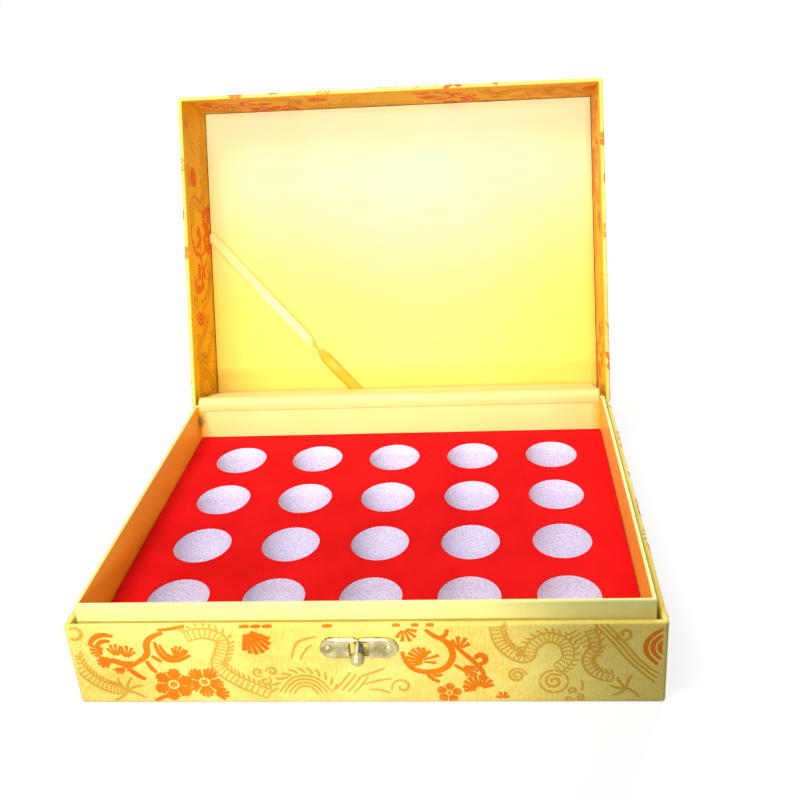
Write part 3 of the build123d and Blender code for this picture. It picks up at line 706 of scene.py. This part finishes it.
def wrap_figures(target, silk, half, span, profile, middle, aim):
    """Wraps the figures onto one wall along a profile of (outset, height) points."""
    reach = [0.0]
    for a, b in zip(profile, profile[1:]):
        reach.append(reach[-1] + math.dist(a, b))
    bm = laid_bands(silk, half, 0.0, reach[-1], middle)
    for mark in reach[1:-1]:
        bmesh.ops.bisect_plane(
            bm, geom=bm.verts[:] + bm.edges[:] + bm.faces[:],
            plane_co=(0, mark, 0), plane_no=(0, 1, 0),
        )
    for vert in bm.verts:
        along_cloth = min(max(vert.co.y, 0.0), reach[-1] - 0.001)
        number = bisect.bisect_right(reach, along_cloth) - 1
        (o1, h1), (o2, h2) = profile[number], profile[number + 1]
        length = reach[number + 1] - reach[number]
        share = (along_cloth - reach[number]) / length
        lift = vert.co.z
        outset = o1 + (o2 - o1) * share + lift * (h2 - h1) / length
        height = h1 + (h2 - h1) * share - lift * (o2 - o1) / length
        vert.co = Vector((vert.co.x, -span - outset, height))
    bmesh.ops.rotate(
        bm, cent=(0, 0, 0), matrix=Matrix.Rotation(math.radians(aim), 3, "Z"), verts=bm.verts
    )
    join_into(target, bm)


inside_top = 52.0


def mark_painted_shade(bm, outset):
    """Marks the lid's points past an outset from its walls, where cloth lies inside, for
    painted shade there.
    """
    mark = bm.verts.layers.float.new("inside")
    for vert in bm.verts:
        past = max(abs(vert.co.x) - box_half[0], abs(vert.co.y) - box_half[1])
        vert[mark] = 1.0 if past < outset and vert.co.z < inside_top else 0.0


def wall_figures(name, silk, body, profile, place=None):
    """One silk's figures on the four walls of the base or lid."""
    bm = bmesh.new()
    girth = 0.0
    for aim, (half, span) in enumerate((box_half, box_half[::-1]) * 2):
        wrap_figures(bm, silk, half - wall_thickness, span, profile, girth, aim * 90)
        girth += sum(box_half)
    # The figures inside the lid are marked for the same painted shade as the cloth.
    if body == "lid":
        mark_painted_shade(bm, -2.3)
    return finish_piece(bm, name, silks[silk], body, place, 45)


silks = {
    "orange": brocade_cloth("orange_silk", "F58E1A", "DC5E06"),
    "gold": brocade_cloth("gold_silk", "EABA46", "CC942A"),
}
base_profile = base_rings[4:-1]
base_figures = [
    wall_figures("base_" + silk + "_figures", silk, "base", base_profile)
    for silk in band
]

# ---- Inner frame ----------------------------------------------------------
# Thin boards under plain yellow satin, standing 8 mm above the rim, so that the
# lid drops over them. The satin is pulled over the top edge and glued inside.


def satin_cloth(name, lit, deep, lie=(34.0, 260.0, 260.0), glow=0.08, painted_shade_fade=None):
    """Plain satin: long floats one way, fine ribs across, and a silky sheen.

    A painted_shade_fade is (low z, high z, tone): painted shade, the silk deepens to the tone
    towards the low z.
    """
    made, tree, shader, place = new_material(name)
    drawn = add_node(tree, "Mapping", Vector=place, Scale=lie)
    threads = grain(tree, drawn.outputs[0], 16.0, 4.0)
    shade = math_node(tree, "MULTIPLY_ADD", threads, 0.6, 0.05)
    shade = math_node(tree, "MULTIPLY_ADD", grain(tree, place, 26.0, 2.0), 0.35, shade)
    # Marked satin takes the deeper tone FFC43C: painted shade.
    silk = painted_shade_tone(tree, two_tones(tree, shade, deep, lit, 0.28, 0.7), "FFC43C")
    # Painted shade: the silk is darker in the tone towards the low z.
    if painted_shade_fade:
        low, high, tone = painted_shade_fade
        upright = add_node(tree, "SeparateXYZ", Vector=place).outputs["Z"]
        smooth = {"interpolation_type": "SMOOTHSTEP"}
        silk = multiplied(
            tree, map_range(tree, upright, (high, low), settings=smooth), silk, tone
        )
    finish_shader(tree, shader, silk, 0.38, 0.3, (threads, 0.3, 0.00008))
    shader.inputs["Sheen Weight"].default_value = glow
    shader.inputs["Sheen Roughness"].default_value = 0.35
    return made


frame_half = (125.4, 93.4)
frame_satin_cloth = satin_cloth("frame_satin_cloth", "FCF6A6", "F3E880")
frame_rings = (
    (0.0, 4.0), (0.0, 22.0), (0.0, 40.0), (0.0, 46.0), (0.0, 50.0), (0.0, 50.4),
    (-0.1, 50.72), (-0.3, 50.92), (-0.6, 51.0), (-0.9, 51.02), (-1.2, 51.0),
    (-1.5, 50.92), (-1.7, 50.72), (-1.8, 50.4), (-1.8, 50.0), (-1.8, 40.0),
    (-1.8, 30.0), (-1.8, 4.0),
)
frame_cloth_bm = sleeve(frame_half, 0.5, frame_rings)
ripple(frame_cloth_bm, 0.08, 0.06, 2)
thicken(frame_cloth_bm, cloth_thickness)
# The inner faces of the side walls are marked for the deeper tone: painted shade and painted
# bounce light from the red tray.
mark = frame_cloth_bm.verts.layers.float.new("inside")
for vert in frame_cloth_bm.verts:
    side_wall = frame_half[0] - 1.9 < abs(vert.co.x) < frame_half[0] - 1.4
    vert[mark] = 1.0 if side_wall and vert.co.z < 50.6 else 0.0
frame_cloth = finish_piece(frame_cloth_bm, "frame_cloth", frame_satin_cloth, "base")
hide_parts("frame_satin")

# ---- Foam nest ------------------------------------------------------------
# A block of pale lilac bead foam with twenty round cups pressed into it. The
# beads leave a fine uneven skin in the cups.

tray_half = (123.2, 91.2)
foam_top, floor_top = 28.9, 2.7
cup_pitch = (45.8, 41.9)
cup_radius, cup_depth = 14.7, 10.0
bowl_radius = (cup_radius**2 + cup_depth**2) / (2 * cup_depth)
cup_places = [
    ((column - 2) * cup_pitch[0], (row - 1.5) * cup_pitch[1])
    for row in range(4)
    for column in range(5)
]

bead_foam, tree, shader, place = new_material("bead_foam")
beads = math_node(
    tree, "MULTIPLY_ADD", cells(tree, place, 1300.0), 0.8, grain(tree, place, 1500.0, 3.0)
)
lilac = two_tones(tree, beads, "C0ABD6", "E6E0F6", 0.5, 1.0)
finish_shader(tree, shader, lilac, 0.75, 0.3, (beads, 0.6, 0.0003))


def carved(name, block_bm, cutters_bm, material, body, angle):
    """A piece left when the cutters are taken out of the block."""
    block = finish_piece(block_bm, name, material, None)
    cutter = finish_piece(cutters_bm, name + "_cutter", material, None)
    cut = block.modifiers.new("cut", "BOOLEAN")
    cut.operation, cut.object, cut.solver, cut.use_self = "DIFFERENCE", cutter, "EXACT", True
    bpy.context.view_layer.update()
    done = bpy.data.meshes.new_from_object(
        block.evaluated_get(bpy.context.evaluated_depsgraph_get())
    )
    block.modifiers.clear()
    block.data = done
    bpy.data.objects.remove(cutter)
    smooth_by_angle(block, angle)
    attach(block, body)
    return block


def box_mesh(low, high):
    """A box between two corners, in mm."""
    bm = bmesh.new()
    bmesh.ops.create_cube(bm, size=1.0)
    low, high = Vector(low), Vector(high)
    bmesh.ops.scale(bm, vec=high - low, verts=bm.verts)
    bmesh.ops.translate(bm, vec=(low + high) / 2, verts=bm.verts)
    return bm


def lathe(profile, steps=48):
    """A turned piece: (radius, height) points spun round the upright axis."""
    bm = bmesh.new()
    last = bmesh.ops.create_vert(bm, co=(profile[0][0], 0, profile[0][1]))["vert"]
    for radius, height in profile[1:]:
        last = bmesh.ops.extrude_vert_indiv(bm, verts=last)["verts"]
        last[0].co = Vector((radius, 0, height))
    bmesh.ops.spin(
        bm, geom=bm.verts[:] + bm.edges[:], cent=(0, 0, 0), axis=(0, 0, 1),
        angle=2 * math.pi, steps=steps, use_merge=True,
    )
    bmesh.ops.remove_doubles(bm, verts=bm.verts, dist=0.001)
    bmesh.ops.recalc_face_normals(bm, faces=bm.faces)
    return bm


foam_bm = box_mesh((-tray_half[0], -tray_half[1], floor_top), (*tray_half, foam_top))
cups_bm = bmesh.new()
bowl_rim = math.asin(cup_radius / bowl_radius)
for number, (x, y) in enumerate(cup_places):
    angles = [bowl_rim * step / 18 for step in range(19)]
    bowl = [(bowl_radius * math.sin(a), -bowl_radius * math.cos(a)) for a in angles]
    bowl_top = bowl[-1][1]
    bowl += [(cup_radius + 0.5, bowl_top + 0.6), (0.0, bowl_top + 1.5)]
    one = lathe(bowl, 64)
    for vert in one.verts:
        bumps = noise.noise(vert.co * 0.9 + Vector((number * 9.0, 0, 0)))
        vert.co += vert.co.normalized() * bumps * 0.16
    bmesh.ops.translate(one, vec=(x, y, foam_top - bowl_top), verts=one.verts)
    join_into(cups_bm, one)
foam = carved("foam_nest", foam_bm, cups_bm, bead_foam, "base", 40)
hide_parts("foam_block")

# ---- Flocked tray sheet ---------------------------------------------------
# Thin card with red velvet flock, punched with twenty holes over the cups. The
# pile stands up at the punched edges.

red_flock, tree, shader, place = new_material("red_flock")
pile = grain(tree, place, 2600.0, 3.0)
nap = math_node(tree, "MULTIPLY_ADD", pile, 0.5, grain(tree, place, 38.0, 4.0))
red = two_tones(tree, nap, "DC0C10", "F4161A", 0.45, 1.0)
finish_shader(tree, shader, red, 0.95, 0.08, (pile, 0.5, 0.0001))
shader.inputs["Sheen Weight"].default_value = 0.12
shader.inputs["Sheen Tint"].default_value = linear("FF5A50")


def add_rod(bm, radius, length, sides, place):
    """Adds a closed round rod that lies about the middle of a place."""
    bmesh.ops.create_cone(
        bm, cap_ends=True, segments=sides, radius1=radius, radius2=radius,
        depth=length, matrix=place,
    )


tray_top = 29.5
card_bm = box_mesh((-tray_half[0], -tray_half[1], foam_top), (*tray_half, tray_top))
punch_bm = bmesh.new()
for x, y in cup_places:
    add_rod(punch_bm, cup_radius, 4.0, 96, Matrix.Translation((x, y, foam_top)))
flocked_card = carved("flocked_card", card_bm, punch_bm, red_flock, "base", 40)
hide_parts("tray_sheet")

# ---- Clasp plate ----------------------------------------------------------
# A pale gilt plate pressed from thin sheet, with rolled edges, a window and a notch
# in its top band. Two round-headed nails hold it to the front board.

gilt, tree, shader, place = new_material("pale_gilt")
drawn = add_node(tree, "Mapping", Vector=place, Scale=(300.0, 2000.0, 2600.0))
scratches = grain(tree, drawn.outputs[0], 3.0, 3.0)
tarnish = two_tones(tree, grain(tree, place, 180.0, 6.0), "A49564", "E8DDA8", 0.35, 0.68)
rubbed = map_range(tree, scratches, (0.0, 1.0), (0.16, 0.38))
finish_shader(tree, shader, tarnish, rubbed, relief=(scratches, 0.12, 0.00004))
shader.inputs["Metallic"].default_value = 1.0

clasp_x, clasp_z, front_y = -1.0, 31.5, -98.0
plate_half, plate_rise, nail_out = (17.0, 5.3), 1.8, 13.1
window_low, window_high = (-4.2, -3.9), (4.2, 3.3)
on_front = Matrix.Translation((clasp_x, front_y, clasp_z)) @ Matrix.Rotation(
    math.radians(90), 4, "X"
)


def stadium(half, steps):
    """A round-ended plate: rings of (outset, height), closed over the top."""
    bm = bmesh.new()
    turns = 24
    half_step = Matrix.Rotation(math.pi / (4 * turns), 4, "Z")
    bmesh.ops.create_circle(bm, segments=4 * turns, radius=half[1], matrix=half_step)
    verts, edges = list(bm.verts), list(bm.edges)
    for number, (outset, height) in enumerate(steps):
        if number:
            verts, edges = extruded(bm, edges)
        for vert in verts:
            way = Vector((vert.co.x, vert.co.y, 0)).normalized()
            vert.co = way * (half[1] + outset)
            vert.co.z = height
    bmesh.ops.holes_fill(bm, edges=edges)
    for vert in bm.verts:
        vert.co.x += math.copysign(half[0] - half[1], vert.co.x)
    bmesh.ops.recalc_face_normals(bm, faces=bm.faces)
    return bm


plate_bm = stadium(
    plate_half,
    ((0.0, 0.0), (0.0, 0.9), (-0.08, 1.25), (-0.3, 1.55), (-0.62, 1.74), (-1.0, plate_rise)),
)
thicken(plate_bm, 0.45)
window_bm = box_mesh((*window_low, -1.0), (*window_high, 3.0))
upright = [e for e in window_bm.edges if abs(e.verts[0].co.z - e.verts[1].co.z) > 1]
bmesh.ops.bevel(
    window_bm, geom=upright, offset=0.9, segments=6, affect="EDGES", profile=0.5, material=-1
)
bmesh.ops.create_cube(
    window_bm, size=1.0,
    matrix=Matrix.Translation((0, 4.6, 1.0)) @ Matrix.Diagonal((2.8, 4.0, 4.0, 1.0)),
)
for x in (-nail_out, nail_out):
    add_rod(window_bm, 0.7, 6.0, 32, Matrix.Translation((x, 0, 0)))
bmesh.ops.transform(plate_bm, matrix=on_front, verts=plate_bm.verts)
bmesh.ops.transform(window_bm, matrix=on_front, verts=window_bm.verts)
plate = carved("clasp_face_plate", plate_bm, window_bm, gilt, "base", 35)
plate_edges = plate.modifiers.new("worn_edges", "BEVEL")
plate_edges.width, plate_edges.segments = 0.00012, 2
plate_edges.limit_method, plate_edges.angle_limit = "ANGLE", math.radians(40)
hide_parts("clasp_plate")


def nail_profile(seat, head, rise, shank=0.65, bite=-1.7):
    """A round-headed nail, from its tip up its side to the top of its dome."""
    points = [(0.0, bite), (shank * 0.5, bite + 0.1), (shank, bite + 0.9), (shank, seat)]
    points += [(head * 0.97, seat), (head, seat + rise * 0.18)]
    for step in range(1, 7):
        angle = math.radians(90 * step / 6)
        points.append(
            (head * math.cos(angle) * 0.99, seat + rise * (0.18 + 0.82 * math.sin(angle)))
        )
    points[-1] = (0.0, seat + rise)
    return points


nails_bm = bmesh.new()
for x in (-nail_out, nail_out):
    one = lathe(nail_profile(plate_rise, 2.0, 0.85))
    bmesh.ops.translate(one, vec=(x, 0, 0), verts=one.verts)
    join_into(nails_bm, one)
nails = finish_piece(nails_bm, "clasp_round_nails", gilt, "base", on_front, 50)
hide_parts("clasp_nails")

# ---- Clasp lever ----------------------------------------------------------
# A turned ball on a bent stalk. Its cross arm is trapped behind the plate, and a
# leaf spring presses the ball down in front of the window.

pivot_out, pivot_up = 0.65, 3.9
ball_out, ball_up, ball_radius = 6.2, -1.2, 3.1
lever_bm = bmesh.new()
arm_place = Matrix.Translation((0, pivot_up, pivot_out))
add_rod(lever_bm, 0.5, 13.0, 24, arm_place @ Matrix.Rotation(math.radians(90), 4, "Y"))
bmesh.ops.create_uvsphere(
    lever_bm, u_segments=48, v_segments=32, radius=ball_radius,
    matrix=Matrix.Translation((0, ball_up, ball_out)),
)
stalk_line = bpy.data.curves.new("stalk_line", "CURVE")
stalk_line.dimensions, stalk_line.bevel_depth, stalk_line.bevel_resolution = "3D", 0.7, 6
bend = stalk_line.splines.new("NURBS")
bend.points.add(4)
for point, (out, height) in zip(
    bend.points, ((0.55, 3.9), (2.4, 4.3), (5.4, 4.0), (6.4, 1.6), (ball_out, -0.2))
):
    point.co = (0, height, out, 1)
bend.order_u, bend.use_endpoint_u, bend.resolution_u = 4, True, 10
stalk_line.use_fill_caps = True
stalk_holder = bpy.data.objects.new("stalk_holder", stalk_line)
stalk_mesh = bpy.data.meshes.new_from_object(stalk_holder)
lever_bm.from_mesh(stalk_mesh)
bpy.data.objects.remove(stalk_holder)
bmesh.ops.recalc_face_normals(lever_bm, faces=lever_bm.faces)
lever = finish_piece(lever_bm, "clasp_ball_lever", gilt, "clasp_lever", on_front, 45)
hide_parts("clasp_lever")

spring_steel, tree, shader, place = new_material("spring_steel")
steel_clouds = two_tones(tree, grain(tree, place, 500.0, 4.0), "5F5A50", "8F8A80")
finish_shader(tree, shader, steel_clouds, 0.35)
shader.inputs["Metallic"].default_value = 1.0
paint("clasp_spring", spring_steel)

# ---- Lid cloth ------------------------------------------------------------
# The same brocade in one piece over the padded top, down the walls, over the rim
# and up the inside to the ceiling. Inside it is glued flat to the boards.

hinge_y, hinge_z, rim_gap = 98.0, 43.15, 0.3
open_angle = 109.25
lean = math.radians(open_angle - 90)
along = Vector((0, math.sin(lean), math.cos(lean)))
inward = Vector((0, math.cos(lean), -math.sin(lean)))
rim_middle = Vector((0, hinge_y, hinge_z)) + along * box_half[1] + inward * (rim_gap / 2)
to_hinge = inward.cross(Vector((1, 0, 0)))
in_lid = Matrix.Translation(rim_middle) @ Matrix(
    (Vector((1, 0, 0)), to_hinge, inward)
).transposed().to_4x4()
ceiling_edge, ceiling_back, figure_margin = 46.0, 48.3, 3.5

lid_rings = [(-wall_thickness, height) for height in (48.2, 36.0, 24.0, 12.0)]
lid_rings += rim_round[::-1]
lid_rings += [(0.0, height) for height in (12.0, 24.0, 36.0, 48.0, 50.8)]
wall_rings = len(lid_rings)
lid_rings += [(-0.12, 51.7), (-0.45, 52.35), (-1.0, 52.75), (-1.8, 52.95), (-3.5, 53.05)]
lid_rings += [(-8.0, 53.2), (-18.0, 53.4), (-35.0, 53.6), (-55.0, 53.7), (-75.0, 53.75)]
lid_rings += [(-90.0, 53.75)]
lid_cloth_bm = sleeve(box_half, 2.0, lid_rings, close=True)
ripple(lid_cloth_bm, 0.05, 0.05, 3)
thicken(lid_cloth_bm, cloth_thickness)
# The cloth inside the lid is marked for a deeper tone: painted shade.
mark_painted_shade(lid_cloth_bm, -2.4)
lid_cloth = finish_piece(lid_cloth_bm, "lid_cloth", gold_brocade, "lid", in_lid)
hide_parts("lid_brocade")


def crown_height(x, y):
    """The height of the lid's padded top at a place on it."""
    inset = min(box_half[0] - abs(x), box_half[1] - abs(y))
    for (o1, h1), (o2, h2) in zip(lid_rings[wall_rings:], lid_rings[wall_rings + 1 :]):
        if inset <= -o2:
            return h1 + (h2 - h1) * (inset + o1) / (o1 - o2)
    return lid_rings[-1][1]


lid_figures = []
top_half = [half - figure_margin for half in box_half]
for silk in band:
    top_bm = laid_bands(silk, top_half[0], -top_half[1], top_half[1], 40.0)
    for vert in top_bm.verts:
        vert.co.z += crown_height(vert.co.x, vert.co.y)
    name = silk + "_figures"
    lid_figures += [
        finish_piece(top_bm, "lid_top_" + name, silks[silk], "lid", in_lid, 45),
        wall_figures("lid_wall_" + name, silk, "lid", lid_rings[:wall_rings], in_lid),
    ]

soft_sponge, tree, shader, place = new_material("soft_sponge")
sponge_cells = two_tones(tree, cells(tree, place, 1400.0), "C9C2AC", "F2EEE0")
finish_shader(tree, shader, sponge_cells, 0.95)
paint("lid_padding", soft_sponge)

# ---- Ceiling pad ----------------------------------------------------------
# A card with thin sponge and cream satin wrapped over it, pushed up inside the
# lid. It swells a little in the middle, and its edges are drawn in.

ceiling_half = (127.0, 95.0)
# The ceiling's satin deepens towards its low end by the hinge, as painted shade, so that it is
# palest at the top.
ceiling_satin = satin_cloth(
    "ceiling_satin_cloth", "FFFCD2", "FBF3B4", lie=(260.0, 34.0, 34.0), glow=0.2,
    painted_shade_fade=(0.08, 0.225, "FFE27C"),
)
pad_bm = bmesh.new()
bmesh.ops.create_grid(pad_bm, x_segments=110, y_segments=84, size=1.0)
bmesh.ops.scale(pad_bm, vec=(*ceiling_half, 1.0), verts=pad_bm.verts)
for vert in pad_bm.verts:
    edge = min(ceiling_half[0] - abs(vert.co.x), ceiling_half[1] - abs(vert.co.y))
    rounding = 1.3 * math.exp(-edge / 1.1)
    crown = 0.9 * math.cos(vert.co.x / ceiling_half[0] * 1.45)
    crown *= math.cos(vert.co.y / ceiling_half[1] * 1.45)
    pucker = 0.16 * math.exp(-edge / 7.0) * noise.noise(
        Vector((vert.co.x * 0.11, vert.co.y * 0.11, 4.0))
    )
    drift = 0.22 * noise.noise(Vector((vert.co.x * 0.02, vert.co.y * 0.02, 9.0)))
    vert.co.z = ceiling_edge + rounding - crown - pucker - drift * min(edge / 20, 1)
pad_rim, pad_edges = extruded(pad_bm, [e for e in pad_bm.edges if e.is_boundary])
for vert in pad_rim:
    vert.co.z = ceiling_back
bmesh.ops.holes_fill(pad_bm, edges=pad_edges)
bmesh.ops.recalc_face_normals(pad_bm, faces=pad_bm.faces)
ceiling_pad = finish_piece(pad_bm, "ceiling_pad", ceiling_satin, "lid", in_lid, 60)
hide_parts("ceiling_satin", "ceiling_sponge")

# ---- Ribbon ---------------------------------------------------------------
# A 7 mm satin ribbon across the ceiling's back left corner, tucked in at the wall
# and under the hinge strip, slack, and turned over once near its lower end.

ribbon_satin = satin_cloth(
    "ribbon_satin", "FFF5AE", "F6DE70", lie=(140.0, 140.0, 140.0), glow=0.15
)
ribbon_start = Vector((-127.4, 98.0 - 113.0, ceiling_edge - 0.45))
ribbon_finish = Vector((99.0 - 127.4, 95.4, ceiling_edge - 0.45))
twist_start, twist_end, ribbon_lift, ribbon_count = 0.60, 0.80, 4.4, 90
ribbon_sides = (-3.5, -1.75, 0.0, 1.75, 3.5)
chord = ribbon_finish - ribbon_start
heading = chord.normalized()
flat_way = heading.cross(Vector((0, 0, 1)))


def ribbon_station(share):
    """The ribbon's middle and its crossways direction at a share of its length."""
    middle = ribbon_start + chord * share
    middle.z -= ribbon_lift * math.sin(math.pi * share)
    turned = min(max((share - twist_start) / (twist_end - twist_start), 0.0), 1.0)
    turn = math.pi * turned * turned * (3 - 2 * turned)
    return middle, flat_way * math.cos(turn) + Vector((0, 0, 1)) * math.sin(turn)


def open_row(bm, points):
    """A row of points and the edges between them."""
    row = [bmesh.ops.create_vert(bm, co=point)["vert"][0] for point in points]
    return row, [
        bmesh.ops.contextual_create(bm, geom=pair)["edges"][0] for pair in zip(row, row[1:])
    ]


ribbon_bm = bmesh.new()
middle, across = ribbon_station(0.0)
row, edges = open_row(ribbon_bm, [middle + across * side for side in ribbon_sides])
for step in range(1, ribbon_count + 1):
    middle, across = ribbon_station(step / ribbon_count)
    fresh, edges = extruded(ribbon_bm, edges)
    for vert in fresh:
        neighbour = next(
            e.other_vert(vert) for e in vert.link_edges if e.other_vert(vert) not in fresh
        )
        number = row.index(neighbour)
        vert.co = middle + across * ribbon_sides[number]
        vert.co += across.cross(heading) * 0.25 * (1 if number in (1, 3) else 0)
    row = sorted(fresh, key=lambda v: (v.co - middle).dot(across))
# The ribbon's edges take a little of the deeper tone, painted shade beside a paler middle, and
# the turned-over end takes all of it: the satin's back, painted deeper as shade.
mark = ribbon_bm.verts.layers.float.new("inside")
for vert in ribbon_bm.verts:
    share = (vert.co - ribbon_start).dot(heading) / chord.length
    turned = min(max((share - 0.66) / 0.1, 0.0), 1.0)
    aside = abs((vert.co - ribbon_start).dot(flat_way)) > 3.2
    vert[mark] = max(turned, 0.3 if aside else 0.0)
bmesh.ops.recalc_face_normals(ribbon_bm, faces=ribbon_bm.faces)
thicken(ribbon_bm, 0.25)
ribbon = finish_piece(ribbon_bm, "satin_ribbon", ribbon_satin, "lid", in_lid)
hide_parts("ribbon")

# ---- Cloth hinge ----------------------------------------------------------
# Outside, a strip of the brocade joins the two back walls. Inside, a wide strip of
# satin runs from the frame's back to the ceiling and is drawn tight when the lid
# leans back, with a soft fold over the frame.


def strip_along(profile, low, high, count, sway=None):
    """A cloth strip: a side-view profile of (y, z) carried from low x to high x."""
    bm = bmesh.new()
    edges = open_row(bm, [(low, y, z) for y, z in profile])[1]
    for _ in range(count):
        fresh, edges = extruded(bm, edges)
        bmesh.ops.translate(bm, vec=((high - low) / count, 0, 0), verts=fresh)
    if sway:
        for vert in bm.verts:
            vert.co += sway(vert.co)
    bmesh.ops.recalc_face_normals(bm, faces=bm.faces)
    return bm


strip_knots = (
    (91.35, 47.4), (91.35, 51.0), (92.0, 53.2), (94.0, 54.7), (96.6, 54.3), (104.0, 51.0),
    (118.0, 45.2), (132.0, 39.6), (142.0, 35.2),
)


def strip_sway(point):
    """How far the strip's free middle stands up or sinks."""
    rise = 0.5 * noise.noise(Vector((point.x * 0.03, point.y * 0.09, 2.0)))
    rise *= min(max((point.y - 92.0) / 6.0, 0.0), 1.0)
    return Vector((0, 0, rise * min(max((142.0 - point.y) / 12.0, 0.0), 1.0)))


hinge_strip_bm = strip_along(spline_points(strip_knots, 6), -122.6, 122.6, 150, strip_sway)
thicken(hinge_strip_bm, cloth_thickness)
hinge_strip_satin = satin_cloth(
    "hinge_strip_satin", "FBF0A0", "EFDA6E", lie=(34.0, 260.0, 260.0), glow=0.15
)
hinge_strip = finish_piece(hinge_strip_bm, "hinge_satin_strip", hinge_strip_satin, None)
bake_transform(hinge_strip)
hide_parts("hinge_satin")

outer_touch = 0.17
outer_reach = (1.6, 5.0, 12.0)
outer_knots = [(hinge_y + outer_touch, hinge_z - reach) for reach in outer_reach[::-1]]
for reach in outer_reach:
    outer_knots.append(
        (
            hinge_y + reach * math.cos(lean) - outer_touch * math.sin(lean),
            hinge_z - reach * math.sin(lean) - outer_touch * math.cos(lean),
        )
    )
outer_strip_bm = strip_along(spline_points(outer_knots, 5), -128.0, 128.0, 60)
thicken(outer_strip_bm, 0.25)
outer_strip = finish_piece(outer_strip_bm, "hinge_brocade_strip", gold_brocade, None)
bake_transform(outer_strip)
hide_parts("hinge_brocade")

# ---- Hasp -----------------------------------------------------------------
# The clasp's other half, on the lid's front: a nailed base with two knuckles, a pin
# and a slotted leaf that folds down over the ball. Here it is thrown back.

for node in ("hasp_base", "hasp_nails", "hasp_pin", "hasp_leaf"):
    paint(node, gilt)
